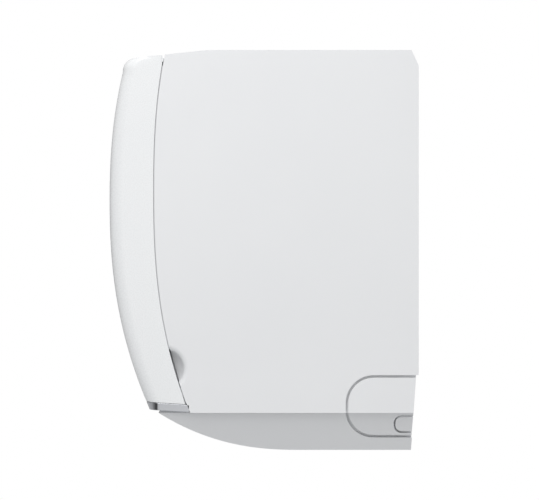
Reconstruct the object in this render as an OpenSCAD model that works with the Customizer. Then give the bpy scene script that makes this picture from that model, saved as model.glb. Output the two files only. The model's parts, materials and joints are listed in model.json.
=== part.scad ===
// Indoor unit of a wall-mounted split air conditioner.
// X runs along the wall, -Y is the front, the wall is the plane Y = 0 and +Z is up.
// The origin is the centre of the mounting plate's back face.

/* [Overall size] */
// Width along the wall
unit_w = 800; // [700:10:1000]
// Height
unit_h = 285; // [270:1:345]
// Depth from the wall to the fullest point of the front panel
unit_d = 220; // [214:1:270]

/* [Casing] */
// Wall of the moulded casing
case_t = 2.5; // [2:0.1:3.5]
// How far the seam lies behind the fullest point of the front panel
seam_back = 32; // [24:1:38]
// Height of the fullest point of the seam
seam_belly_z = 185; // [170:1:200]
// How far the seam sweeps back at the unit's lowest point
seam_sweep = 38; // [30:1:42]
// Gap of the seams between mouldings
seam_gap = 0.8; // [0.5:0.1:1.2]
// How far the front frame stands forward of the seam
frame_forward = 12; // [8:1:14]
// Fall of the top towards the front, measured at the seam
top_fall = 3.2; // [2:0.1:5]
// Depth at which the flat top begins to fall
top_flat_d = 151; // [140:1:160]
// Depth of the chamfer on the rear top edge
rear_chamfer_d = 5; // [3:0.5:8]
// Height of the chamfer on the rear top edge
rear_chamfer_h = 11; // [6:1:16]
// Pitch of the intake grille's slots
grille_pitch = 18; // [14:1:30]
// Bar between two slots of the grille
grille_bar = 5; // [3:0.5:8]
// Radius of the finger notches
notch_r = 15; // [10:0.5:18]
// How far outside the end wall the centre of a notch's bowl lies
notch_out = 4; // [3:0.5:9]
// Height of the finger notches
notch_z = 58.5; // [50:0.5:90]

/* [Front panel] */
// Wall of the front panel
panel_t = 3; // [2:0.1:4]
// Height of the panel's fullest point
panel_belly_z = 178; // [160:1:190]
// How far the panel's face sweeps back at the unit's lowest point
panel_sweep = 43.5; // [36:0.5:50]
// Radius of the panel's upper front edge
panel_top_r = 9; // [5:0.5:12]
// Radius of the panel's upright ends, seen from above
panel_end_r = 10; // [6:0.5:12]
// Radius of the bead along the panel's top edge, which is the hinge's knuckle
bead_r = 3; // [2.6:0.1:4]
// Radius of the hinge pins
hinge_pin_r = 1.5; // [1.2:0.1:1.8]
// Width of the casing's hinge lugs
lug_w = 8; // [6:1:14]
// Height of the trim strip's upper edge at the front
trim_top_z = 35; // [33:0.5:38]
// Height of the trim strip's lower edge at the front
trim_bottom_z = 29.5; // [29:0.1:30.5]

/* [Lower housing] */
// Height of the lower housing
lower_h = 27; // [25:0.5:28]
// How far its front tip lies from the wall
lower_tip_d = 185; // [180:1:188]
// How much of its underside is flat, measured from the wall
lower_flat_d = 84; // [70:1:95]
// Set-back of its ends from the end walls
lower_step = 3; // [2:0.5:5]
// How far its ends slope inward
lower_slope = 20; // [10:1:26]
// How far its rear edge leans away from the wall
rear_lean = 5; // [3:0.5:8]

/* [Pipe covers] */
// Height of a pipe cover's upper edge
cover_top_z = 53; // [46:1:56]
// Height of its lower edge
cover_bottom_z = 10; // [8:0.5:12]
// How far it reaches forward from the wall
cover_d = 51; // [44:1:56]
// Radius of its corners
cover_r = 19; // [10:1:20]
// Groove round it
cover_groove = 1.8; // [1:0.1:2.4]
// Height of the cable cover's upper edge
cable_top_z = 24.5; // [22:0.5:25]
// Height of the cable cover's lower edge
cable_bottom_z = 13; // [12.6:0.1:15]
// How far the cable cover reaches forward from the wall
cable_d = 17; // [13:0.5:24]

/* [Fan] */
// Radius of the cross-flow impeller
fan_r = 43; // [36:0.5:44]
// Number of blades
blade_count = 35; // [24:1:40]
// Number of stiffening rings between the end discs
ring_count = 6; // [3:1:9]
// Radius of the fan's shaft
shaft_r = 4; // [3:0.5:5]
// Clearance of every pivot and shaft, on the radius
run_gap = 0.05; // [0.02:0.01:0.08]
// Radius of the fan motor
motor_r = 39; // [32:0.5:40]
// Length of the fan motor
motor_l = 52; // [40:1:56]

/* [Heat exchanger] */
// Thickness of the fin slabs
coil_t = 26; // [20:1:28]
// Height of the upright front slab
front_slab_h = 92; // [80:1:96]
// Radius of the copper tubes
tube_r = 3.5; // [2.5:0.1:4]
// Pitch of the tubes along a slab
tube_pitch = 20; // [16:1:25]
// Radius of the gas pipe
gas_r = 4.76; // [4:0.01:6.35]
// Radius of the liquid pipe
liquid_r = 3.175; // [3:0.005:4.76]

/* [Louvre and vanes] */
// Thickness of the louvre
louvre_t = 3; // [2:0.1:3.2]
// Radius of the louvre's pivots
louvre_pin_r = 3; // [2:0.1:4]
// Number of vertical vanes
vane_count = 10; // [6:1:10]
// Thickness of a vane
vane_t = 1.6; // [1.2:0.1:2.4]
// Radius of a vane's pivot
vane_pin_r = 2; // [1.5:0.1:2.2]

/* [Mounting plate] */
// Width of the mounting plate
plate_w = 620; // [560:5:640]
// Height of the mounting plate
plate_h = 172; // [164:1:180]
// Thickness of the mounting plate
plate_t = 1.2; // [0.8:0.1:2]
// Sideways distance between the outer screw holes
screw_span_x = 560; // [400:5:580]
// Height between the outer screw holes
screw_span_z = 140; // [100:1:150]
// Radius of the screw holes
screw_hole_r = 2.75; // [2.5:0.05:3.5]

/* [Hidden] */
$fn = 48;

white = "#eef0f2";
grey_white = "#d9dcde";
half_w = unit_w / 2;
plate_low_z = 75;
plate_z = plate_low_z + plate_h / 2;
curve_steps = 24;

// ---- outline of the casing, in depth (Y) and height (Z) above the unit's lowest point
top_slope = top_fall / (unit_d - seam_back - 7 - top_flat_d);
function seam_y(z) =
    -(unit_d - seam_back) + seam_sweep * pow(abs(z - seam_belly_z) / seam_belly_z, 2.5);
function panel_y(z) =
    -unit_d + panel_sweep * pow(abs(z - panel_belly_z) / panel_belly_z, 2.3);
function top_z(y) = unit_h - max(0, -y - top_flat_d) * top_slope;
function under_z(y) =
    lower_h * pow(max(0, -y - lower_flat_d) / (lower_tip_d - lower_flat_d), 2.4);
function rear_y(z) = -1.4 - (rear_lean - 1.4) * (cover_top_z - z) / cover_top_z;
seam_top_z = unit_h - top_fall;
pivot_y = seam_y(seam_top_z) - seam_gap - bead_r;
pivot_z = top_z(pivot_y) - bead_r;

// ---- air path: fan centre, scroll and sloping outlet floor
coil_front_y = seam_y(seam_belly_z) + 14;
coil_back_y = coil_front_y + coil_t;
coil_low_z = 66;
coil_bend_z = coil_low_z + front_slab_h;
fan_y = coil_back_y + 53;
fan_z = 100;
duct_fall = 43;
scroll_r0 = fan_r + 5;
scroll_r1 = fan_r + 19;
scroll_from = 50;
scroll_to = duct_fall - 90;
wall_t = 2.5;
floor_y = fan_y + scroll_r1 * cos(scroll_to);
floor_z = fan_z + scroll_r1 * sin(scroll_to);
// A point at distance t down the outlet floor and height h above it
function on_floor(t, h) = [
    floor_y - t * cos(duct_fall) - h * sin(duct_fall),
    floor_z - t * sin(duct_fall) + h * cos(duct_fall)
];
lip_z = 3;
lip_y = on_floor((floor_z - lip_z) / sin(duct_fall), 0)[0];
louvre_half = half_w - 56;
duct_left = -louvre_half + 1.5;
duct_right = half_w - 90;
fan_left = duct_left + 16;
fan_right = duct_right - 10;
chamber_t = 2.5;

// ---- louvre and vanes
louvre_y = lip_y - 21.9;
louvre_z = under_z(louvre_y) + 13.9;
// how far behind the lip the lower housing's opening ends
outlet_back = 2.95 + 1.1 * under_z(lip_y);
louvre_front_d = lower_tip_d - 5;
louvre_rear_y = lip_y - 3.4;
vane_t0 = 30;
vane_pitch = (fan_right - fan_left - 40) / (vane_count - 1);
function vane_x(i) = fan_left + 20 + (i - 1) * vane_pitch;
vane_top = 34;
link_t = 50;
link_pin_r = 1.6;

// ---- flat outlines turned into solids
module in_frame() translate([0, 0, -plate_z]) children();
module along_x(x0, x1)
    translate([x0, 0, 0]) rotate([90, 0, 90]) linear_extrude(x1 - x0) children();
module both_ends() {
    children();
    mirror([1, 0, 0]) children();
}
// A round bar or bore along X
module rod_x(x0, x1, y, z, r)
    translate([x0, y, z]) rotate([0, 90, 0]) cylinder(h = x1 - x0, r = r);
module rod_y(x, y0, y1, z, r)
    translate([x, y1, z]) rotate([90, 0, 0]) cylinder(h = y1 - y0, r = r);
module block(x, y, z)
    translate([x[0], y[0], z[0]]) cube([x[1] - x[0], y[1] - y[0], z[1] - z[0]]);
// A band of even thickness along a path of points, to the left of its direction
function normal_at(p, i) =
    let (a = p[max(0, i - 1)], b = p[min(len(p) - 1, i + 1)], d = b - a) [-d[1], d[0]] / norm(d);
module band(path, t0, t1) polygon(concat(
    [for (i = [0:len(path) - 1]) path[i] + t0 * normal_at(path, i)],
    [for (i = [len(path) - 1:-1:0]) path[i] + t1 * normal_at(path, i)]
));
// The seam from z0 to z1, moved forward by f
function seam_path(z0, z1, f, steps) =
    [for (i = [0:steps]) let (z = z0 + (z1 - z0) * i / steps) [seam_y(z) - f, z]];

// ---- casing
module case_side_outline() polygon(concat(
    seam_path(lower_h, seam_top_z, 0, curve_steps),
    [[-top_flat_d, unit_h], [-rear_chamfer_d, unit_h], [0, unit_h - rear_chamfer_h]],
    [[0, cover_top_z + cover_groove], [rear_y(lower_h), lower_h]]
));
module case_top_outline() polygon([
    [seam_y(seam_top_z), seam_top_z], [-top_flat_d, unit_h], [-rear_chamfer_d, unit_h],
    [0, unit_h - rear_chamfer_h], [0, unit_h - 28], [-case_t, unit_h - 28],
    [-case_t, unit_h - rear_chamfer_h - 1], [-rear_chamfer_d - 1, unit_h - case_t],
    [-top_flat_d, unit_h - case_t], [seam_y(seam_top_z), seam_top_z - case_t]
]);
// Front frame, a skin that stands forward of the seam and turns back to the top
frame_top_z = unit_h - 19;
module case_frame_outline() {
    band(seam_path(lower_h + 9, frame_top_z, frame_forward, 16), -case_t, 0);
    polygon([
        [seam_y(frame_top_z) - frame_forward, frame_top_z - 1],
        [pivot_y + bead_r + 4, seam_top_z - case_t],
        [pivot_y + bead_r + 8, seam_top_z - case_t],
        [seam_y(frame_top_z) - frame_forward + 4, frame_top_z - 4]
    ]);
}
module case_end_closure() {
    along_x(half_w - 14, half_w - 14 + case_t) polygon(concat(
        seam_path(lower_h + 9, frame_top_z, frame_forward, 16),
        seam_path(frame_top_z, lower_h + 9, -10, 16)
    ));
    along_x(half_w - 14, half_w - case_t)
        polygon(concat(
            seam_path(lower_h + 9, seam_top_z - case_t, -7.5, 16),
            seam_path(seam_top_z - case_t, lower_h + 9, -10, 16)
        ));
}
module pipe_cover_outline(grow) {
    r = cover_r + grow;
    front = -cover_d - grow;
    low = cover_bottom_z - grow;
    high = cover_top_z + grow;
    hull_w = cover_d + grow + 10;
    translate([front + r, high - r]) intersection() {
        circle(r);
        translate([-r, 0]) square(r);
    }
    translate([front + r, low + r]) intersection() {
        circle(r);
        translate([-r, -r]) square(r);
    }
    translate([front, low + r]) square([r, high - low - 2 * r]);
    translate([front + r, low]) square([hull_w - r, high - low]);
}
module cable_cover_outline(grow) {
    r = 5 + grow;
    front = -cable_d - grow;
    low = cable_bottom_z - grow;
    high = cable_top_z + grow;
    translate([front + r, high - r]) circle(r);
    translate([front + r, low + r]) circle(r);
    translate([front, low + r]) square([r, high - low - 2 * r]);
    translate([front + r, low]) square([cable_d + 10, high - low]);
}
window_z = [coil_low_z + 12, frame_top_z - 14];
filter_gap = 14;
filter_left_x = [fan_left - 6, -filter_gap / 2 - 20];
filter_right_x = [filter_left_x[1] + filter_gap, fan_right - 4];
lug_x = [-half_w + 70, 0, half_w - 70];
button_x = half_w - 58;
button_z = 100;
button_r = 5;
screw_x = [-half_w + 120, -10, half_w - 120];
screw_z = 50;
screw_head_r = 4;
screw_r = 1.6;
screw_face_y = seam_y(screw_z + screw_head_r) - frame_forward - 0.2;
latch_x = [-half_w + 160, 0, half_w - 160];
latch_z = 42;
module notch_bowl(grow)
    translate([half_w + notch_out, seam_y(seam_belly_z) + 7, notch_z])
        sphere(norm([notch_r, notch_out]) + grow);
module case() color(white) in_frame() difference() {
    union() {
        both_ends() along_x(half_w - case_t, half_w) case_side_outline();
        along_x(-half_w + case_t, half_w - case_t) case_top_outline();
        along_x(-half_w + 14, half_w - 14) case_frame_outline();
        both_ends() case_end_closure();
        // lugs that carry the hinge pins
        for (x = lug_x) along_x(x - lug_w / 2, x + lug_w / 2) {
            translate([pivot_y, pivot_z]) circle(bead_r);
            polygon([
                [pivot_y, pivot_z + bead_r - 0.3], [pivot_y + bead_r + 3, pivot_z + bead_r - 0.3],
                [pivot_y + bead_r + 6, pivot_z - bead_r], [pivot_y, pivot_z - bead_r]
            ]);
        }
        // seats of the screws and of the receiver's board
        for (x = screw_x) rod_y(x, screw_face_y, screw_face_y + 3, screw_z, 5);
        for (x = [receiver_x[0] - 7, receiver_x[1] + 2])
            block([x, x + 5], [board_front_y - 3.4, board_front_y], [receiver_z[0] + 1, receiver_z[0] + 6]);
        // walls of the finger notches
        both_ends() intersection() {
            notch_bowl(case_t - 0.5);
            along_x(half_w - 13, half_w - case_t / 2)
                polygon(concat(
                    seam_path(notch_z - 30, notch_z + 30, -0.4, 8),
                    seam_path(notch_z + 30, notch_z - 30, -30, 8)
                ));
        }
    }
    both_ends() notch_bowl(0);
    both_ends() along_x(half_w - 10, half_w + 1) pipe_cover_outline(cover_groove / 2);
    // windows over the two filters
    for (x = [filter_left_x, filter_right_x])
        block([x[0] + 5, x[1] - 5], [-unit_d, coil_front_y - 2], window_z);
    // intake grille
    for (x = [fan_left:grille_pitch:fan_right - grille_pitch])
        block([x, x + grille_pitch - grille_bar], [-top_flat_d + 6, -24], [unit_h - 6, unit_h + 1]);
    for (x = lug_x) rod_x(x - lug_w, x + lug_w, pivot_y, pivot_z, hinge_pin_r);
    rod_y(button_x, -unit_d, coil_front_y, button_z, button_r + 0.3);
    for (x = screw_x) rod_y(x, -unit_d, coil_front_y, screw_z, 2.3);
    for (x = latch_x) block([x - 7, x + 7], [-unit_d, coil_front_y], [latch_z - 3, latch_z + 4]);
    // way out for the light of the receiver
    block([receiver_x[0] - 1, receiver_x[1] + 1], [-unit_d, coil_front_y], receiver_z);
}

// ---- front panel
receiver_x = [half_w - 82, half_w - 38];
receiver_z = [53, 62];
board_gap = 0.5;
board_front_y = seam_y(receiver_z[0] - 3) - frame_forward + case_t + board_gap;
lens_gap = 0.3;
// the trim's upper edge, and the panel's lower edge above it, fall towards the seam
trim_fall = 2;
trim_front_y = panel_y(trim_top_z);
trim_slope = trim_fall / (seam_y(trim_top_z - trim_fall) - seam_gap - trim_front_y);
panel_inside_y = -unit_d + seam_back + 40;
panel_corner_z = top_z(panel_y(unit_h - 14)) - panel_top_r;
function panel_outline(inset) = let (
    cy = panel_y(panel_corner_z) + panel_top_r,
    cz = top_z(cy) - panel_top_r
) concat(
    [[panel_inside_y, trim_top_z - (panel_inside_y - trim_front_y) * trim_slope + 0.2]],
    [for (i = [0:curve_steps])
        let (z = trim_top_z + (panel_corner_z - trim_top_z) * i / curve_steps)
        [panel_y(z) + inset, z]],
    [for (a = [170:-16:106]) [cy, cz] + (panel_top_r - inset) * [cos(a), sin(a)]],
    [[pivot_y, top_z(pivot_y) - inset], [panel_inside_y, top_z(pivot_y) - inset]]
);
// The panel's outline run along a line turned by a, which touches the round of its right end
module end_rounding(a) rotate([0, 0, a]) along_x(-unit_w, unit_w) polygon([
    for (p = panel_outline(0)) [
        (p[0] + panel_end_r) * cos(a) - panel_end_r - (half_w - panel_end_r) * sin(a)
            + (p[0] > pivot_y ? unit_w : 0),
        p[1]
    ]
]);
module panel_behind_seam() polygon(concat(
    [[20, trim_bottom_z - 10]],
    [[seam_y(trim_bottom_z - 10) - seam_gap, trim_bottom_z - 10]],
    seam_path(trim_bottom_z - 5, pivot_z - bead_r, seam_gap, curve_steps),
    [[pivot_y, pivot_z - bead_r], [pivot_y, unit_h + 10], [20, unit_h + 10]]
));
module front_panel() color(white) in_frame() difference() {
    union() {
        difference() {
            intersection() {
                along_x(-half_w, half_w) polygon(panel_outline(0));
                end_rounding(30);
                end_rounding(60);
                mirror([1, 0, 0]) end_rounding(30);
                mirror([1, 0, 0]) end_rounding(60);
            }
            along_x(-half_w - 1, half_w + 1) panel_behind_seam();
            along_x(-half_w + panel_t, half_w - panel_t) polygon(panel_hollow(8));
            along_x(-half_w + 8, half_w - 8) polygon(panel_hollow(panel_t));
        }
        rod_x(-half_w, half_w, pivot_y, pivot_z, bead_r);
    }
    for (x = lug_x) {
        rod_x(x - lug_w / 2 - 0.4, x + lug_w / 2 + 0.4, pivot_y, pivot_z, bead_r + 0.6);
        rod_x(x - lug_w / 2 - 9, x + lug_w / 2 + 9, pivot_y, pivot_z, hinge_pin_r + run_gap);
    }
    block(
        [receiver_x[0] - lens_gap, receiver_x[1] + lens_gap], [-unit_d - 1, -unit_d + 30],
        [receiver_z[0] - lens_gap, receiver_z[1] + lens_gap]
    );
}
// The hollow behind the panel, open below
function panel_hollow(inset) = concat(
    [[20, trim_top_z - 10], [panel_y(trim_top_z) + inset, trim_top_z - 10]],
    [for (p = panel_outline(inset)) if (p[1] > trim_top_z && p[0] < pivot_y) p],
    [[pivot_y + 0.2, pivot_z - bead_r], [20, pivot_z - bead_r]]
);
module panel_trim() color("silver") in_frame() {
    front = trim_front_y;
    difference() {
        intersection() {
            along_x(-half_w, half_w) polygon([
                [front, trim_top_z], [front + 2.2, trim_bottom_z],
                // raised by what its swing about the hinge drops
                [seam_y(lower_h) - seam_gap, lower_h + 1.1],
                [seam_y(trim_top_z - trim_fall) - seam_gap, trim_top_z - trim_fall]
            ]);
            translate([0, 0, lower_h - 5]) linear_extrude(20) union() {
                translate([-half_w, front + panel_end_r])
                    square([unit_w, seam_back + 60]);
                translate([-half_w + panel_end_r, front])
                    square([unit_w - 2 * panel_end_r, panel_end_r]);
                for (s = [-1, 1])
                    translate([s * (half_w - panel_end_r), front + panel_end_r])
                        circle(panel_end_r);
            }
        }
        block(
            [-half_w + panel_t, half_w - panel_t], [front + panel_end_r, 0],
            [lower_h + 4.6, unit_h]
        );
        block(
            [-half_w + panel_end_r, half_w - panel_end_r], [front + panel_t + 1.5, 0],
            [lower_h + 4.6, unit_h]
        );
        block([-half_w + 16, half_w - 16], [front + 15, 0], [0, unit_h]);
    }
}
module panel_latches() color(grey_white) in_frame() for (x = latch_x) {
    tip = seam_y(latch_z) - frame_forward + 3.5;
    // the root follows the inner face of the panel
    along_x(x - 4, x + 4) polygon([
        [panel_y(latch_z) + panel_t + 0.1, latch_z],
        [panel_y(latch_z + 1.6) + panel_t + 0.1, latch_z + 1.6], [tip, latch_z + 1.6],
        [tip, latch_z - 1.6], [tip - 2, latch_z]
    ]);
}
module hinge_pins() color("gainsboro") in_frame()
    for (x = lug_x) rod_x(x - lug_w / 2 - 8, x + lug_w / 2 + 8, pivot_y, pivot_z, hinge_pin_r);
module receiver_lens() color("dimgray") in_frame()
    along_x(receiver_x[0], receiver_x[1]) polygon(concat(
        [for (i = [0:4]) let (z = receiver_z[0] + (receiver_z[1] - receiver_z[0]) * i / 4)
            [panel_y(z) + 0.3, z]],
        [for (i = [4:-1:0]) let (z = receiver_z[0] + (receiver_z[1] - receiver_z[0]) * i / 4)
            [panel_y(z) + panel_t, z]]
    ));

// ---- lower housing with the outlet
module lower_outline(inset, top) polygon(concat(
    [[-lower_tip_d + inset, top]],
    [for (i = [0:curve_steps])
        let (y = -lower_tip_d + inset + (lower_tip_d - inset - lower_flat_d) * i / curve_steps)
        [y, under_z(y - inset / 2) + inset]],
    [[rear_y(0), inset], [rear_y(lower_h), top]]
));
// End slopes, as a tapered prism that runs through the unit from back to front
module end_slopes(inset) rotate([90, 0, 0]) translate([0, 0, -10])
    linear_extrude(unit_d + 20) polygon([
        [-half_w + lower_step + inset, lower_h + 1], [half_w - lower_step - inset, lower_h + 1],
        [half_w - lower_step - lower_slope - inset, -1],
        [-half_w + lower_step + lower_slope + inset, -1]
    ]);
module lower_body(inset, top) intersection() {
    along_x(-half_w, half_w) lower_outline(inset, top);
    end_slopes(inset);
}
module bottom_housing() color(grey_white) in_frame() difference() {
    union() {
        difference() {
            lower_body(0, lower_h);
            lower_body(case_t, lower_h + 1);
            block([-half_w, half_w], [rear_y(0) - case_t - 1, 5], [case_t, unit_h]);
            block([-louvre_half - 1.5, louvre_half + 1.5], [-unit_d, lip_y + outlet_back], [-5, unit_h]);
        }
        both_ends() along_x(louvre_half + 1.5, louvre_half + 4) polygon(concat(
            [[-lower_tip_d + 11, 44]],
            [for (i = [0:8]) let (y = -lower_tip_d + 11 + (lower_tip_d - 11 + lip_y) * i / 8)
                [y, under_z(y) + 0.5]],
            [[lip_y + 5, case_t - 0.5], [lip_y + 5, 44]]
        ));
        // ceiling of the outlet beside the air path, over the louvre's end
        along_x(duct_right + 2.8, louvre_half + 1.5) band(
            [[lip_y + outlet_back + 2.3, case_t - 0.5], [lip_y + outlet_back + 2.3, 46],
             [-lower_tip_d + 13, 46], [-lower_tip_d + 11, 34]], 0, case_t
        );
    }
    both_ends() rod_x(louvre_half - 1, louvre_half + 6, louvre_y, louvre_z, louvre_pin_r + run_gap);
    both_ends() along_x(half_w - lower_slope - 20, half_w + 1)
        pipe_cover_outline(cover_groove / 2);
}

// ---- pipe covers, which bridge the end wall and the sloping end of the lower housing
back_t = 1.4;
module end_skin(outer, inner) {
    along_x(half_w - inner, half_w - outer)
        polygon([[-unit_d, lower_h], [-unit_d, 90], [5, 90], [5, lower_h]]);
    intersection() {
        difference() {
            end_slopes(outer);
            end_slopes(inner);
        }
        block([0, half_w + 1], [-unit_d, 10], [0, lower_h]);
    }
    // step between the two
    block([half_w - lower_step - inner, half_w - outer], [-unit_d, 10],
        [lower_h, lower_h + inner - outer]);
}
module behind_rear_edge() along_x(-half_w - 5, half_w + 5)
    polygon([[rear_y(unit_h), unit_h], [rear_y(0), 0], [rear_y(-10), -10], [20, -10], [20, unit_h]]);
module pipe_cover() difference() {
    union() {
        intersection() {
            end_skin(0, case_t);
            along_x(half_w - lower_slope - 20, half_w + 1) pipe_cover_outline(-cover_groove / 2);
        }
        intersection() {
            end_skin(case_t, case_t + back_t);
            along_x(half_w - lower_slope - 20, half_w + 1) pipe_cover_outline(cover_groove / 2 + 2);
        }
    }
    behind_rear_edge();
    along_x(half_w - lower_slope - 30, half_w + 1) cable_cover_outline(0.6);
}
module cable_cover() difference() {
    union() {
        intersection() {
            end_skin(0, case_t);
            along_x(half_w - lower_slope - 20, half_w + 1) cable_cover_outline(-0.6);
        }
        intersection() {
            end_skin(case_t + back_t, case_t + 2 * back_t - 0.2);
            along_x(half_w - lower_slope - 20, half_w + 1) cable_cover_outline(2);
        }
        intersection() {
            end_skin(case_t, case_t + back_t);
            along_x(half_w - lower_slope - 20, half_w + 1) cable_cover_outline(0.5);
        }
    }
    behind_rear_edge();
}
module pipe_cover_right() color(white) in_frame() pipe_cover();
module pipe_cover_left() color(white) in_frame() mirror([1, 0, 0]) pipe_cover();
module cable_cover_right() color(white) in_frame() cable_cover();
module cable_cover_left() color(white) in_frame() mirror([1, 0, 0]) cable_cover();

// ---- chassis
back_y = -10;
gutter_z = 156;
hook_x = [-plate_w / 2 + 60, 0, plate_w / 2 - 60];
hook_z = plate_low_z + plate_h - 12;
bearing_r = 16;
bearing_l = 10;
function scroll_radius(a) =
    scroll_r0 + (scroll_r1 - scroll_r0) * pow((scroll_from - a) / (scroll_from - scroll_to), 1.5);
function scroll_point(a, grow) =
    [fan_y, fan_z] + (scroll_radius(a) + grow) * [cos(a), sin(a)];
function scroll_points(grow) =
    [for (i = [0:20]) scroll_point(scroll_from + (scroll_to - scroll_from) * i / 20, grow)];
module scroll_outline() polygon(concat(
    [[back_y - wall_t, gutter_z], [-44, gutter_z], [-44, gutter_z + 6], [-46.5, gutter_z + 6]],
    [[-46.5, gutter_z - 2]],
    scroll_points(0),
    [[lip_y, lip_z], [lip_y + 0.5, case_t + 0.1]],
    [[on_floor((floor_z - lip_z) / sin(duct_fall), -wall_t)[0] + 1, case_t + 0.1]],
    [for (i = [20:-1:0]) scroll_point(scroll_from + (scroll_to - scroll_from) * i / 20, wall_t)],
    [[-44, gutter_z - wall_t - 1], [back_y - wall_t, gutter_z - wall_t - 1]]
));
// End wall of the fan chamber, inside the scroll
module chamber_outline() polygon(concat(
    scroll_points(1),
    // stays clear of the swing of the louvre's rear edge
    [[lip_y, lip_z + 0.5], [lip_y + 5.5, louvre_z], [lip_y - 2, louvre_z + 18]],
    [[coil_back_y + 4, louvre_z + 24], [coil_back_y + 4, gutter_z - 6], [-70, gutter_z - 6]]
));
module base_chassis() color(grey_white) in_frame() difference() {
    union() {
        block([-half_w + 8, half_w - 8], [back_y - wall_t, back_y], [72, frame_top_z - 8]);
        along_x(duct_left - chamber_t, duct_right + chamber_t) scroll_outline();
        along_x(duct_left - chamber_t, duct_left) chamber_outline();
        along_x(duct_right, duct_right + chamber_t) chamber_outline();
        rod_x(duct_left, duct_left + bearing_l, fan_y, fan_z, bearing_r + 3);
        // ribs that stiffen the back wall
        for (x = [-half_w + 20, half_w - 20])
            block([x - 1.5, x + 1.5], [back_y - 12, back_y], [80, frame_top_z - 20]);
    }
    rod_x(duct_left - 5, duct_left + bearing_l + 1, fan_y, fan_z, bearing_r);
    rod_x(duct_right - 1, duct_right + 5, fan_y, fan_z, shaft_r + 6);
    // slots for the hooks of the mounting plate
    for (x = hook_x)
        block([x - 16, x + 16], [back_y - 5, back_y + 2], [hook_z - 4, hook_z + 14]);
    // bores for the vanes' pivots
    for (i = [1:vane_count]) at_floor(vane_x(i), vane_t0, -wall_t - 1)
        cylinder(h = wall_t + 2, r = vane_pin_r + run_gap);
}
// Stands children at a point of the outlet floor, +Z at right angles to the floor
module at_floor(x, t, h) {
    p = on_floor(t, h);
    translate([x, p[0], p[1]]) rotate([duct_fall, 0, 0]) children();
}
module mounting_plate() color("lightsteelblue") in_frame() difference() {
    union() {
        block([-plate_w / 2, plate_w / 2], [-plate_t, 0], [plate_low_z, plate_low_z + plate_h]);
        for (x = hook_x) {
            block([x - 12, x + 12], [back_y - 8, -plate_t / 2], [hook_z, hook_z + plate_t]);
            block([x - 12, x + 12], [back_y - 8, back_y - 8 + plate_t], [hook_z, hook_z + 9]);
        }
        // turned-in feet that hold the unit off the wall
        for (x = [-plate_w / 2 + 90, plate_w / 2 - 90]) block(
            [x - 15, x + 15], [back_y + 0.5, -plate_t / 2],
            [plate_low_z, plate_low_z + plate_t]
        );
    }
    for (x = [-screw_span_x / 2, screw_span_x / 2], z = [-screw_span_z / 2, screw_span_z / 2])
        rod_y(x, -5, 5, plate_z + z, screw_hole_r);
    for (x = [-200, -120, 120, 200])
        translate([x, 0, plate_z]) block([-30, 30], [-5, 5], [-40, 40]);
}

// ---- drain pan, which is also the fan's tongue and the ceiling of the outlet
pan_low_z = 62;
tongue_z = 80;
spigot_y = coil_front_y + 6;
spigot_z = 60.5;
spigot_r = 8;
module drain_pan() color(white) in_frame() difference() {
    union() {
        along_x(duct_left + 0.4, duct_right - 0.4) polygon([
            [coil_back_y + 1.5, tongue_z + 4], [fan_y - fan_r - 2.5, tongue_z],
            [coil_back_y + 4.5, pan_low_z - 2], [coil_front_y + 2, 38], [coil_front_y - 1, 38],
            [coil_front_y - 4.5, pan_low_z], [coil_front_y - 4.5, pan_low_z + 10],
            [coil_front_y - 2, pan_low_z + 10], [coil_front_y - 2, pan_low_z],
            [coil_back_y + 0.5, pan_low_z], [coil_back_y + 0.5, tongue_z + 4]
        ]);
        // ends of the trough
        for (x = [duct_left + 0.4, duct_right - 2.9]) block(
            [x, x + 2.5], [coil_front_y - 4.5, coil_back_y + 1.6], [pan_low_z - 4, pan_low_z + 10]
        );
        rod_x(duct_left - 11, duct_left + 1, spigot_y, spigot_z, spigot_r);
    }
    rod_x(duct_left - 12, duct_left + 8, spigot_y, spigot_z, spigot_r - 2);
    for (x = screw_x) rod_y(x, coil_front_y - 6, coil_front_y + 6, screw_z, screw_r);
}

// ---- drain hose: along the left end, down behind the scroll and along the wall
hose_r = 9;
hose_bend = 20;
hose_x = duct_left - 26.5;
hose_drop = 16;
hose_y = -13;
hose_z = 28;
hose_end_x = -200;
module quarter_bend(r, tube) rotate_extrude(angle = 90) translate([r, 0]) circle(tube);
module drain_hose() color("whitesmoke") in_frame() difference() {
    union() {
        rod_x(hose_x + hose_bend, duct_left - 3, spigot_y, spigot_z, hose_r);
        translate([hose_x + hose_bend, spigot_y + hose_bend, spigot_z]) rotate([0, 0, 180])
            quarter_bend(hose_bend, hose_r);
        rod_y(hose_x, spigot_y + hose_bend, hose_y - hose_drop, spigot_z, hose_r);
        translate([hose_x, hose_y - hose_drop, spigot_z - hose_drop]) rotate([90, 0, 90])
            quarter_bend(hose_drop, hose_r);
        translate([hose_x + hose_drop, hose_y, spigot_z - hose_drop]) rotate([-90, 0, 0])
            rotate([0, 0, 90]) quarter_bend(hose_drop, hose_r);
        rod_x(hose_x + hose_drop, hose_end_x, hose_y, hose_z, hose_r);
        // the cuff at the free end
        rod_x(hose_end_x - 24, hose_end_x, hose_y, hose_z, hose_r + 1);
    }
    rod_x(duct_left - 11, duct_left, spigot_y, spigot_z, spigot_r);
    rod_x(hose_end_x - 60, hose_end_x + 1, hose_y, hose_z, hose_r - 2);
}

// ---- heat exchanger: three slabs bent over the fan
end_plate_t = 1.2;
coil_left = duct_left + 8;
coil_right = fan_right;
apex_y = coil_back_y + 57.5;
apex_z = unit_h - 45;
rear_foot = [-39, gutter_z + 12.5];
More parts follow.
